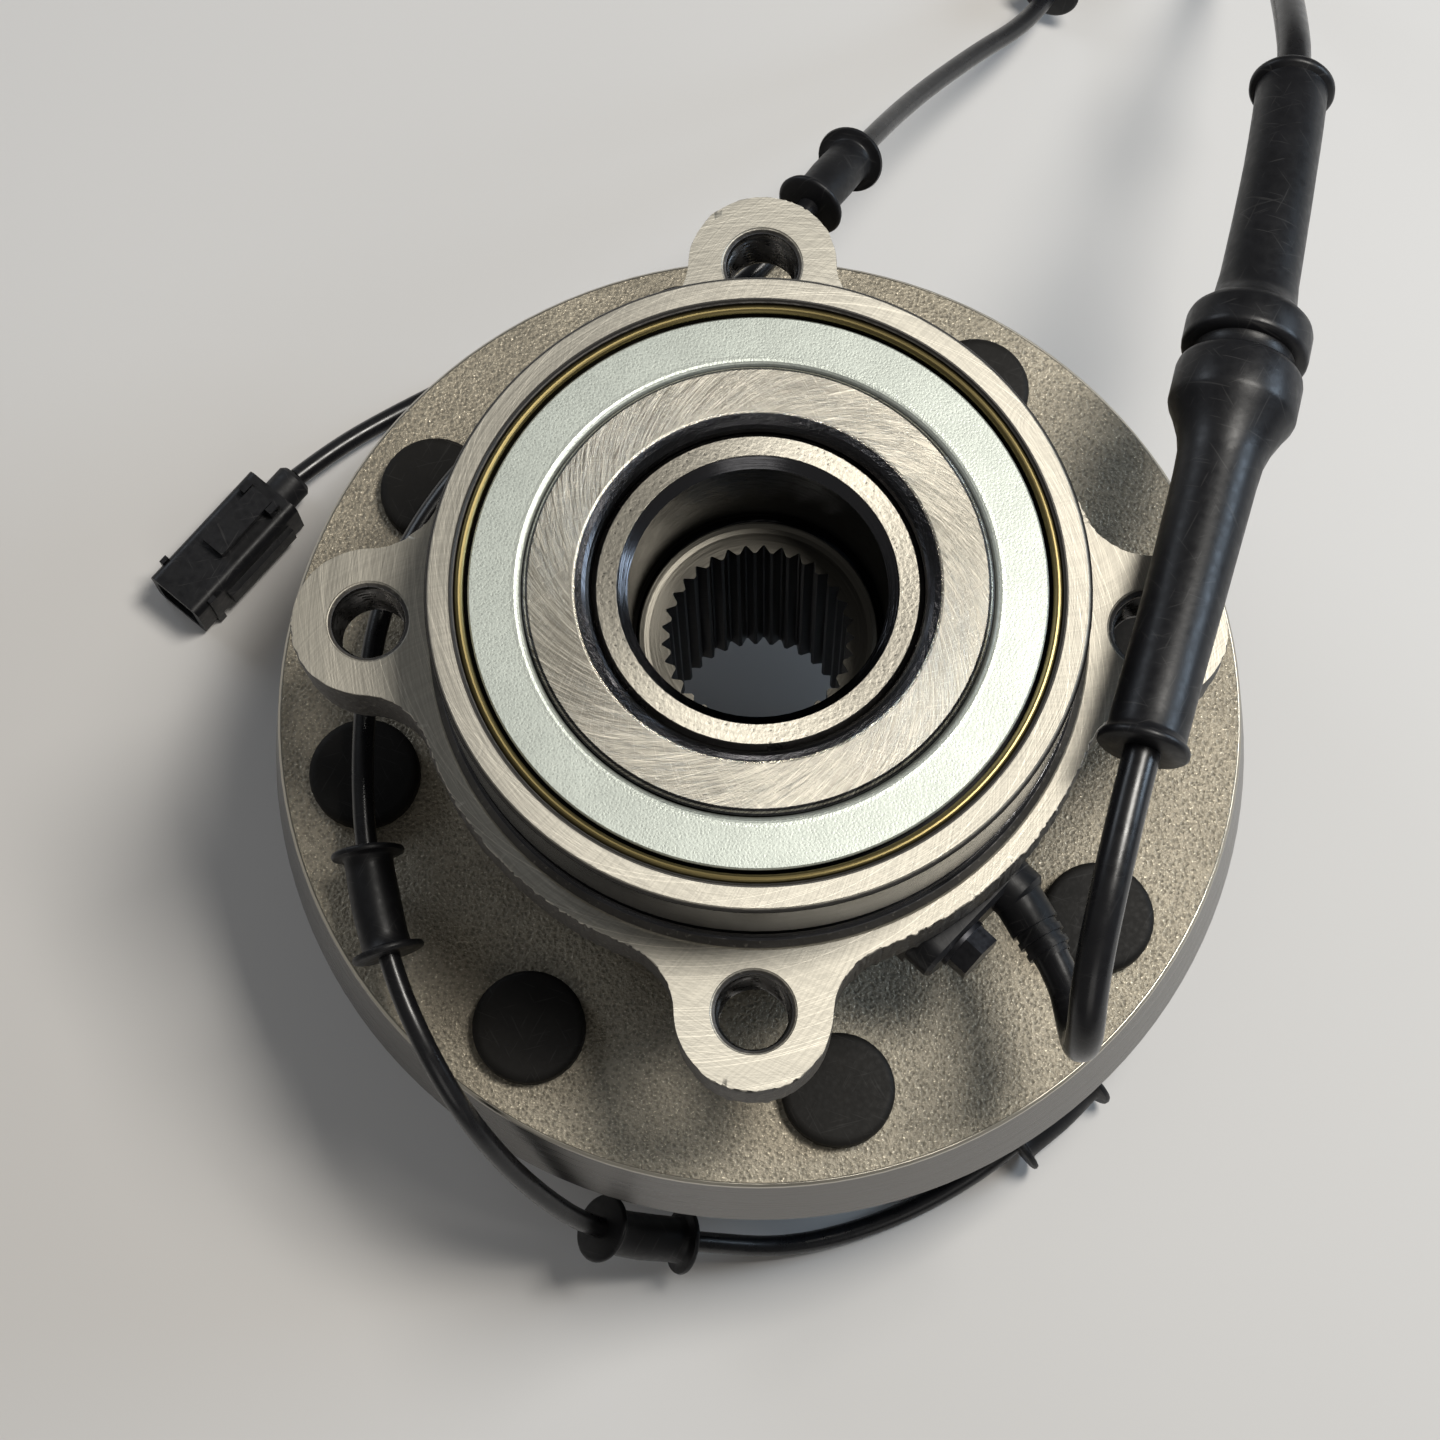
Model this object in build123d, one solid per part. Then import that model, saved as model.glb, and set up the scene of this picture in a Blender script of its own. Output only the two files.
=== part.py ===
from build123d import *
import os
from math import atan2, cos, degrees, hypot, pi, radians, sin, sqrt, tan

# Wheel hub bearing unit for an eight-stud truck axle, in millimetres.
# +Z is the spin axis and points inboard. The unit stands on its stud tips at z = 0.

# ---- driving dimensions -------------------------------------------------------
# wheel flange, studs and pilots
STUD_COUNT = 8
STUD_PITCH_DIAMETER = 165.1
STUD_RADIUS = 7.0
STUD_KNURL_RADIUS = 7.4
STUD_HEAD_RADIUS = 11.4
STUD_HEAD_HEIGHT = 4.5
STUD_HEAD_EDGE = 1.2
STUD_REACH = 46.0
STUD_LEAD_IN = 1.0
STUD_TIP_CHAMFER = 1.5
STUD_TURN = 11.7
FLANGE_RADIUS = 104.0
FLANGE_DRAFT = 4.0
FLANGE_THICKNESS = 24.0
FLANGE_EDGE = 1.0
WHEEL_PILOT_RADIUS = 60.55
WHEEL_PILOT_HEIGHT = 17.0
WHEEL_PILOT_WALL = 9.0
WHEEL_PILOT_CHAMFER = 2.5
NUT_SEAT_RADIUS = 32.0
NUT_SEAT_DEPTH = 22.0
NUT_RECESS_DRAFT = 5.0
# spindle and splined bore
SPINDLE_RADIUS = 30.6
SPINDLE_END_CHAMFER = 1.0
AXLE_BORE_RADIUS = 24.0
AXLE_BORE_CHAMFER = 2.0
SPLINE_TEETH = 33
SPLINE_MAJOR_RADIUS = 18.6
SPLINE_MINOR_RADIUS = 17.1
SPLINE_STEP = 2.1
SPLINE_SHOULDER_FILLET = 2.9
SPLINE_LENGTH = 50.0
SPLINE_MOUTH_SHARE = 0.40
SPLINE_ROOT_SHARE = 0.05
NECK_GAP = 5.5
NECK_HEIGHT = 6.5
# rolling elements
ROLLERS_PER_ROW = 20
ROLLER_PITCH_RADIUS = 45.6
ROLLER_RADIUS = 5.2
ROLLER_LENGTH = 13.6
ROLLER_EDGE = 0.6
CONTACT_ANGLE = 11.5
CONE_CLEARANCE = 0.10
CUP_CLEARANCE = 0.16
OUTBOARD_ROW_FROM_NECK = 13.1
ROW_END_COVER = 33.8
RIB_RADIUS = 43.2
RIB_GAP = 0.35
SMALL_RIB_WIDTH = 2.0
SMALL_RIB_HEIGHT = 1.4
RING_CORNER = 3.4
RIB_CHAMFER = 1.0
# cages
CAGE_THICKNESS = 1.4
CAGE_OFFSET = 1.2
CAGE_POCKET_CLEARANCE = 0.3
CAGE_RIM = 1.7
CAGE_LARGE_LEG = 3.2
CAGE_SMALL_LEG = 4.4
# tone ring and sensor probe
TONE_TEETH = 48
TONE_RADIUS = 45.2
TONE_BORE = 36.0
TONE_WIDTH = 5.8
TONE_TOOTH_DEPTH = 2.6
PROBE_RADIUS = 3.3
PROBE_AIR_GAP = 0.8
PROBE_HOLE_CLEARANCE = 0.1
# outer ring
OUTER_LENGTH = 72.3
BARREL_WALL = 4.2
PILOT_WALL = 5.3
PILOT_CHAMFER = 0.8
PILOT_GROOVE_WIDTH = 2.6
PILOT_GROOVE_DEPTH = 0.9
PILOT_GROOVE_FROM_FLANGE = 5.5
SEAL_SEAT_RADIUS = 55.8
INBOARD_SEAL_DEPTH = 9.4
OUTBOARD_SEAL_DEPTH = 4.6
MOUNT_FACE_FROM_TOP = 24.4
MOUNT_THICKNESS = 15.0
MOUNT_SHELF = 6.3
MOUNT_FILLET = 3.0
EAR_COUNT = 4
EAR_PITCH_RADIUS = 74.4
EAR_RADIUS = 14.6
EAR_BLEND = 14.0
EAR_HOLE_RADIUS = 7.19
EAR_HOLE_CHAMFER = 0.95
# seals
SEAL_WALL = 1.2
SEAL_RIM_WIDTH = 1.9
SEAL_RIM_RISE = 0.5
SLINGER_THICKNESS = 0.9
SLINGER_BEND = 1.5
SLINGER_GAP = 0.75
LIP_GAP = 0.2
# wheel speed sensor
SENSOR_TURN = -43.0
SENSOR_PAD_RISE = 1.5
SENSOR_PLATE_DEPTH = 6.0
SENSOR_PLATE_HEIGHT = 11.2
SENSOR_PLATE_REACH = 24.0
SENSOR_HEAD_RADIUS = 5.6
SENSOR_HEAD_RISE = 3.5
SENSOR_FLANGE_GAP = 0.5
SENSOR_BOLT_OFFSET = -14.5
SENSOR_BOLT_RADIUS = 3.0
SENSOR_BOLT_HEAD = 9.0
SENSOR_BOLT_HEAD_HEIGHT = 5.0
SENSOR_BOLT_GRIP = 10.0
SENSOR_BOLT_CLEARANCE = 0.2
SENSOR_BOSS_RADIUS = 4.9
SENSOR_BOSS_LENGTH = 7.5
SENSOR_BOSS_TURN = -60.0
O_RING_SECTION = 1.6
O_RING_FROM_FACE = 3.5
RELIEF_LENGTH = 8.0
RELIEF_LEAD_OUT = 12.0
RELIEF_RIBS = 3
# cords
SLEEVE_RADIUS = 3.5
LEAD_RADIUS = 2.25
BOOT_FLANGE_RADIUS = 8.9
BOOT_FLANGE_WIDTH = 2.2
BOOT_NECK_RADIUS = 7.5
BOOT_COLLAR_RADIUS = 12.6
BOOT_GROOVE_RADIUS = 9.6
BOOT_GROOVE_WIDTH = 3.0
BOOT_COLLAR_WIDTH = 16.0
BOOT_TAIL_RADIUS = 7.3
BOOT_END_RADIUS = 8.8
BOOT_END_WIDTH = 3.4
SPLICE_RADIUS = 4.7
SPLICE_LENGTH = 14.0
GROMMET_RADIUS = 4.9
GROMMET_DISC_RADIUS = 7.4
GROMMET_DISC_WIDTH = 1.8
GROMMET_LENGTH = 22.0
# connector
CONNECTOR_LENGTH = 34.0
CONNECTOR_WIDTH = 15.0
CONNECTOR_HEIGHT = 14.0
CONNECTOR_CORNER = 2.2
CONNECTOR_WALL = 1.8
CONNECTOR_SOCKET_DEPTH = 17.0
CONNECTOR_SEAL_RADIUS = 4.4
CONNECTOR_SEAL_LENGTH = 7.0
LATCH_LENGTH = 17.0
LATCH_WIDTH = 6.0
LATCH_THICKNESS = 1.4
LATCH_LIFT = 3.0
LATCH_CLEARANCE = 0.25
LATCH_HINGE_FROM_REAR = 4.0
LATCH_PIN_RADIUS = 0.7
PIN_RADIUS = 0.8
PIN_SPACING = 5.0
PIN_LENGTH = 11.0

# ---- heights and radii that follow from them ----------------------------------
BARREL_RADIUS = SEAL_SEAT_RADIUS + BARREL_WALL
PILOT_RADIUS = SEAL_SEAT_RADIUS + PILOT_WALL
MOUNT_BASE_RADIUS = BARREL_RADIUS + MOUNT_SHELF
SENSOR_FACE = BARREL_RADIUS + SENSOR_PAD_RISE
ROW_SPACING = OUTER_LENGTH - ROW_END_COVER
WHEEL_FACE = STUD_REACH
FLANGE_FACE = WHEEL_FACE + FLANGE_THICKNESS
NECK_TOP = FLANGE_FACE + NECK_HEIGHT
OUTER_BOTTOM = FLANGE_FACE + NECK_GAP
OUTER_TOP = OUTER_BOTTOM + OUTER_LENGTH
MOUNT_FACE = OUTER_TOP - MOUNT_FACE_FROM_TOP
MOUNT_BACK = MOUNT_FACE - MOUNT_THICKNESS
SPINDLE_TOP = OUTER_TOP - SPLINE_STEP
RECESS_FLOOR = WHEEL_FACE - WHEEL_PILOT_HEIGHT + NUT_SEAT_DEPTH + NUT_RECESS_DRAFT
SHOULDER = RECESS_FLOOR + 10.0 + SPLINE_LENGTH
OUTBOARD_ROW = NECK_TOP + OUTBOARD_ROW_FROM_NECK
INBOARD_ROW = OUTBOARD_ROW + ROW_SPACING
APEX_DISTANCE = ROLLER_PITCH_RADIUS / tan(radians(CONTACT_ANGLE))
ROLLER_TAPER = degrees(atan2(ROLLER_RADIUS, hypot(APEX_DISTANCE, ROLLER_PITCH_RADIUS)))
CONE_SLOPE = tan(radians(CONTACT_ANGLE - ROLLER_TAPER))
CUP_SLOPE = tan(radians(CONTACT_ANGLE + ROLLER_TAPER))
AXIAL_HALF = ROLLER_LENGTH / 2 * cos(radians(CONTACT_ANGLE))
CUP_END = AXIAL_HALF + 2.2
RING_JOINT = OUTBOARD_ROW + ROW_SPACING / 2
SENSOR_HEIGHT = MOUNT_BACK - SENSOR_FLANGE_GAP - SENSOR_HEAD_RADIUS
MID_LAND_RADIUS = ROLLER_PITCH_RADIUS + 2.0


def revolved(points):
    """A ring turned from an outline of (radius, height) points."""
    return revolve(Plane.XZ * make_face(Polyline(*points, close=True)), Axis.Z)


def washer(outer, inner, low, high):
    """A plain ring between two heights."""
    return revolved([(inner, low), (outer, low), (outer, high), (inner, high)])


def arc_points(centre, radius, start, end, count):
    """(radius, height) points of an arc about a centre, from one angle to another in degrees."""
    points = []
    for i in range(count + 1):
        turn = radians(start + (end - start) * i / count)
        points.append((centre[0] + radius * cos(turn), centre[1] + radius * sin(turn)))
    return points


def save(node, shape):
    """Write one node's solids to its STEP file."""
    pieces = shape if isinstance(shape, list) else [shape]
    solids = [solid for piece in pieces for solid in piece.solids()]
    export_step(solids[0] if len(solids) == 1 else Compound(solids), f"parts/{node}.step")


# ---- bearing rows ---------------------------------------------------------------
def pitch_point(row, side, along, off):
    """(radius, height) at a distance along a row's pitch line and off it, towards the cup."""
    angle = radians(CONTACT_ANGLE)
    radius = ROLLER_PITCH_RADIUS + along * sin(angle) + off * cos(angle)
    return radius, row + side * (along * cos(angle) - off * sin(angle))


def roller(extra_radius, extra_length):
    """One tapered roller on its own axis, large end up."""
    half = ROLLER_LENGTH / 2 + extra_length
    taper = tan(radians(ROLLER_TAPER)) * half
    small = ROLLER_RADIUS - taper + extra_radius
    large = ROLLER_RADIUS + taper + extra_radius
    edge = ROLLER_EDGE
    outline = [(0, -half), (small - edge, -half), (small, edge - half), (large, half - edge)]
    return revolved(outline + [(large - edge, half), (0, half)])


def roller_row(row, side, extra_radius=0.0, extra_length=0.0):
    """The tapered rollers of one row, leaning on its pitch cone."""
    lean = CONTACT_ANGLE if side > 0 else 180 - CONTACT_ANGLE
    first = Pos(ROLLER_PITCH_RADIUS, 0, row) * Rot(0, lean, 0) * roller(extra_radius, extra_length)
    return [Rot(0, 0, 360 / ROLLERS_PER_ROW * i) * first for i in range(ROLLERS_PER_ROW)]


def cage(row, side):
    """A pressed cage: a conical band with a turned-in rim at each end and one pocket per roller."""
    inner = CAGE_OFFSET
    outer = CAGE_OFFSET + CAGE_THICKNESS
    clear = ROLLER_LENGTH / 2 + CAGE_POCKET_CLEARANCE
    end = clear + CAGE_RIM
    large_leg = inner - CAGE_LARGE_LEG
    small_leg = inner - CAGE_SMALL_LEG
    places = [(-end, small_leg), (-end, outer), (end, outer), (end, large_leg), (clear, large_leg)]
    places += [(clear, inner), (-clear, inner), (-clear, small_leg)]
    band = revolved([pitch_point(row, side, along, off) for along, off in places])
    for pocket in roller_row(row, side, CAGE_POCKET_CLEARANCE, CAGE_POCKET_CLEARANCE):
        band -= pocket
    return band


def cone_radius(distance):
    """Inner raceway radius at an axial distance from the row's centre, towards the large end."""
    return (APEX_DISTANCE + distance) * CONE_SLOPE - CONE_CLEARANCE


def cup_radius(distance):
    """Outer raceway radius at an axial distance from the row's centre, towards the large end."""
    return (APEX_DISTANCE + distance) * CUP_SLOPE + CUP_CLEARANCE


def inner_ring(row, side, face, corner):
    """A cone with its large rib at the face, its small rib and a plain end at the ring joint."""
    lean = ROLLER_RADIUS * sin(radians(CONTACT_ANGLE))
    large = AXIAL_HALF + lean + RIB_GAP
    small = lean - AXIAL_HALF - RIB_GAP
    small_end = small - SMALL_RIB_WIDTH
    outline = [
        (SPINDLE_RADIUS, RING_JOINT),
        (TONE_BORE, RING_JOINT),
        (TONE_BORE, row + side * small_end),
        (cone_radius(small) + SMALL_RIB_HEIGHT, row + side * small_end),
        (cone_radius(small) + SMALL_RIB_HEIGHT, row + side * small),
        (cone_radius(small), row + side * small),
        (cone_radius(large), row + side * large),
        (RIB_RADIUS, row + side * large),
        (RIB_RADIUS, face - side * RIB_CHAMFER),
        (RIB_RADIUS - RIB_CHAMFER, face),
    ]
    centre = (SPINDLE_RADIUS + corner, face - side * corner)
    steps = 6 if corner > 1 else 1
    return revolved(outline + arc_points(centre, corner, side * 90, 180 if side > 0 else -180, steps))


def tone_ring():
    """The toothed ring that the speed sensor reads, pressed on the outboard cone."""
    low = SENSOR_HEIGHT - TONE_WIDTH / 2
    ring = washer(TONE_RADIUS, TONE_BORE, low, low + TONE_WIDTH)
    pitch = 2 * pi * TONE_RADIUS / TONE_TEETH
    gap = Box(2 * TONE_TOOTH_DEPTH, pitch / 2, 2 * TONE_WIDTH)
    for i in range(TONE_TEETH):
        ring -= Rot(0, 0, 360 / TONE_TEETH * i) * Pos(TONE_RADIUS, 0, SENSOR_HEIGHT) * gap
    return ring


# ---- seals ------------------------------------------------------------------------
def inboard_seal():
    """Case with a rolled rim in the outer ring, a rubber lip on it, and the slinger on the cone."""
    low = OUTER_TOP - INBOARD_SEAL_DEPTH
    inner = SEAL_SEAT_RADIUS - SEAL_RIM_WIDTH
    rim = SEAL_RIM_WIDTH / 2
    middle = SEAL_SEAT_RADIUS - rim
    top = OUTER_TOP - SEAL_RIM_RISE
    wall = SEAL_SEAT_RADIUS - SEAL_WALL
    leg_end = RIB_RADIUS + 4.2
    outline = [(leg_end, low), (SEAL_SEAT_RADIUS, low)]
    outline += arc_points((middle, top - rim), rim, 0, 180, 10)
    outline.append((wall, top - 2 * rim))
    outline += [(wall, low + SEAL_WALL), (leg_end, low + SEAL_WALL)]
    case = revolved(outline)
    disc_top = top - 0.4
    disc_edge = inner - SLINGER_GAP
    hoop = RIB_RADIUS + SLINGER_THICKNESS
    bend = (RIB_RADIUS + SLINGER_BEND, disc_top - SLINGER_BEND)
    slinger = revolved(
        [(RIB_RADIUS, low + 2.6), (hoop, low + 2.6)]
        + arc_points(bend, SLINGER_BEND - SLINGER_THICKNESS, 180, 90, 4)
        + [(disc_edge, disc_top - SLINGER_THICKNESS), (disc_edge, disc_top - 0.3)]
        + [(disc_edge - 0.3, disc_top)]
        + arc_points(bend, SLINGER_BEND, 90, 180, 5)
    )
    root = low + SEAL_WALL
    under = disc_top - SLINGER_THICKNESS - 0.3 - LIP_GAP
    lip = revolved([
        (leg_end, root), (wall, root), (wall, root + 1.6), (leg_end + 4.6, root + 1.6),
        (leg_end + 5.4, under - 0.4), (leg_end + 4.9, under),
        (leg_end + 3.4, root + 1.6), (leg_end + 0.6, root + 1.4),
        (hoop + 0.8, root + 3.4), (hoop + LIP_GAP, root + 3.0), (hoop + LIP_GAP, root + 2.4),
        (leg_end - 0.4, root + 0.6),
    ])
    return case, slinger, lip


def outboard_seal():
    """Plain pressed case in the outer ring's outboard end, with a rubber lip on the cone's rib."""
    high = OUTER_BOTTOM + OUTBOARD_SEAL_DEPTH
    low = OUTER_BOTTOM + 0.4
    wall = SEAL_SEAT_RADIUS - SEAL_WALL
    leg_end = RIB_RADIUS + 4.0
    case = revolved([
        (SEAL_SEAT_RADIUS, low), (SEAL_SEAT_RADIUS, high), (leg_end, high), (leg_end, high - SEAL_WALL),
        (wall, high - SEAL_WALL), (wall, low),
    ])
    root = high - SEAL_WALL
    lip = revolved([
        (wall, root), (leg_end, root), (leg_end - 0.3, root - 0.3), (RIB_RADIUS + LIP_GAP, root - 0.4),
        (RIB_RADIUS + LIP_GAP, root - 1.0), (leg_end, root - 1.6), (wall, root - 1.4),
    ])
    return case, lip


# ---- hub ----------------------------------------------------------------------------
def spline_grooves():
    """The spaces between the internal spline teeth, as one star-shaped prism."""
    step = 360 / SPLINE_TEETH
    mouth = (SPLINE_MINOR_RADIUS, SPLINE_MOUTH_SHARE)
    root = (SPLINE_MAJOR_RADIUS, SPLINE_ROOT_SHARE)
    corners = [(mouth[0], -mouth[1]), (root[0], -root[1]), root, mouth]
    points = []
    for i in range(SPLINE_TEETH):
        for radius, share in corners:
            turn = radians(step * (i + share))
            points.append((radius * cos(turn), radius * sin(turn)))
    star = make_face(Polyline(*points, close=True))
    return Pos(0, 0, RECESS_FLOOR - 5) * extrude(star, SHOULDER - RECESS_FLOOR + 10)


def hub_flange():
    """Wheel flange, wheel pilot and spindle in one forging, bored and splined for the axle."""
    pilot_low = WHEEL_FACE - WHEEL_PILOT_HEIGHT
    inner_low = WHEEL_PILOT_RADIUS - WHEEL_PILOT_WALL
    inner_high = inner_low - NUT_RECESS_DRAFT
    upper_radius = FLANGE_RADIUS - FLANGE_DRAFT
    seat = NUT_SEAT_RADIUS
    outline = [
        (SPLINE_MINOR_RADIUS, RECESS_FLOOR),
        (seat, RECESS_FLOOR),
        (seat, RECESS_FLOOR - 4),
        (inner_high, RECESS_FLOOR - 7),
        (inner_low, pilot_low),
        (WHEEL_PILOT_RADIUS - WHEEL_PILOT_CHAMFER, pilot_low),
        (WHEEL_PILOT_RADIUS, pilot_low + WHEEL_PILOT_CHAMFER),
        (WHEEL_PILOT_RADIUS, WHEEL_FACE - 1.5),
        (WHEEL_PILOT_RADIUS - 0.8, WHEEL_FACE - 0.6),
        (WHEEL_PILOT_RADIUS - 0.8, WHEEL_FACE + 0.6),
        (WHEEL_PILOT_RADIUS + 2.0, WHEEL_FACE + 0.6),
        (WHEEL_PILOT_RADIUS + 2.6, WHEEL_FACE),
        (FLANGE_RADIUS - FLANGE_EDGE, WHEEL_FACE),
        (FLANGE_RADIUS, WHEEL_FACE + FLANGE_EDGE),
        (upper_radius, FLANGE_FACE - 0.6),
        (upper_radius - 0.5, FLANGE_FACE),
        (SEAL_SEAT_RADIUS - 2, FLANGE_FACE),
        (RIB_RADIUS + 3.5, FLANGE_FACE + 1.6),
        (RIB_RADIUS + 0.6, NECK_TOP - 2.2),
        (RIB_RADIUS, NECK_TOP),
        (SPINDLE_RADIUS, NECK_TOP),
        (SPINDLE_RADIUS, SPINDLE_TOP - SPINDLE_END_CHAMFER),
        (SPINDLE_RADIUS - SPINDLE_END_CHAMFER, SPINDLE_TOP),
        (AXLE_BORE_RADIUS + AXLE_BORE_CHAMFER, SPINDLE_TOP),
        (AXLE_BORE_RADIUS, SPINDLE_TOP - AXLE_BORE_CHAMFER),
    ]
    corner = (AXLE_BORE_RADIUS - SPLINE_SHOULDER_FILLET, SHOULDER + SPLINE_SHOULDER_FILLET)
    outline += arc_points(corner, SPLINE_SHOULDER_FILLET, 0, -90, 5)
    outline.append((SPLINE_MINOR_RADIUS, SHOULDER))
    hub = revolved(outline) - spline_grooves()
    hole = Pos(STUD_PITCH_DIAMETER / 2, 0, WHEEL_FACE + FLANGE_THICKNESS / 2)
    hole = hole * Cylinder(STUD_KNURL_RADIUS, FLANGE_THICKNESS + 2)
    for i in range(STUD_COUNT):
        hub -= Rot(0, 0, STUD_TURN + 360 / STUD_COUNT * i) * hole
    return hub


def wheel_studs():
    """The pressed-in wheel studs, heads on the inboard side of the flange."""
    head_top = FLANGE_FACE + STUD_HEAD_HEIGHT
    stud = revolved([
        (0, 0), (STUD_RADIUS - STUD_TIP_CHAMFER, 0), (STUD_RADIUS, STUD_TIP_CHAMFER),
        (STUD_RADIUS, WHEEL_FACE - STUD_LEAD_IN),
        (STUD_KNURL_RADIUS, WHEEL_FACE), (STUD_KNURL_RADIUS, FLANGE_FACE),
        (STUD_HEAD_RADIUS, FLANGE_FACE),
        (STUD_HEAD_RADIUS, head_top - STUD_HEAD_EDGE), (STUD_HEAD_RADIUS - 0.35, head_top - 0.35),
        (STUD_HEAD_RADIUS - STUD_HEAD_EDGE, head_top), (0, head_top),
    ])
    place = Pos(STUD_PITCH_DIAMETER / 2, 0, 0) * stud
    return [Rot(0, 0, STUD_TURN + 360 / STUD_COUNT * i) * place for i in range(STUD_COUNT)]


# ---- outer ring ---------------------------------------------------------------------
def in_sensor_frame(shape):
    """Place a shape drawn with +X pointing out of the sensor pad."""
    return Rot(0, 0, SENSOR_TURN) * Pos(0, 0, SENSOR_HEIGHT) * shape


def across(radius, start, end, y=0.0):
    """A rod along the sensor frame's X axis."""
    return Pos((start + end) / 2, y, 0) * Rot(0, 90, 0) * Cylinder(radius, end - start)


def mounting_flange():
    """The lobed flange: a round and four ears, joined by arcs that touch both."""
    reach = MOUNT_BASE_RADIUS + EAR_BLEND
    span = EAR_RADIUS + EAR_BLEND
    along_ear = (reach ** 2 + EAR_PITCH_RADIUS ** 2 - span ** 2) / (2 * EAR_PITCH_RADIUS)
    ear = Vector(EAR_PITCH_RADIUS, 0)
    blend = Vector(along_ear, sqrt(reach ** 2 - along_ear ** 2))
    on_round = blend * (MOUNT_BASE_RADIUS / reach)
    on_ear = ear + (blend - ear) * (EAR_RADIUS / span)
    inward = ((on_round - blend) + (on_ear - blend)).normalized()
    on_blend = blend + inward * EAR_BLEND
    tip = ear + Vector(EAR_RADIUS, 0)
    step = 360 / EAR_COUNT
    edges = []
    for i in range(EAR_COUNT):
        def turned(point, side=1):
            return Vector(point.X, side * point.Y).rotate(Axis.Z, step * i)
        next_round = Vector(on_round.X, -on_round.Y).rotate(Axis.Z, step * (i + 1))
        between = Vector(MOUNT_BASE_RADIUS, 0).rotate(Axis.Z, step * (i + 0.5))
        edges += [
            ThreePointArc(turned(on_round, -1), turned(on_blend, -1), turned(on_ear, -1)),
            ThreePointArc(turned(on_ear, -1), turned(tip), turned(on_ear)),
            ThreePointArc(turned(on_ear), turned(on_blend), turned(on_round)),
            ThreePointArc(turned(on_round), between, next_round),
        ]
    return Pos(0, 0, MOUNT_BACK) * extrude(make_face(edges), MOUNT_THICKNESS)


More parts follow.
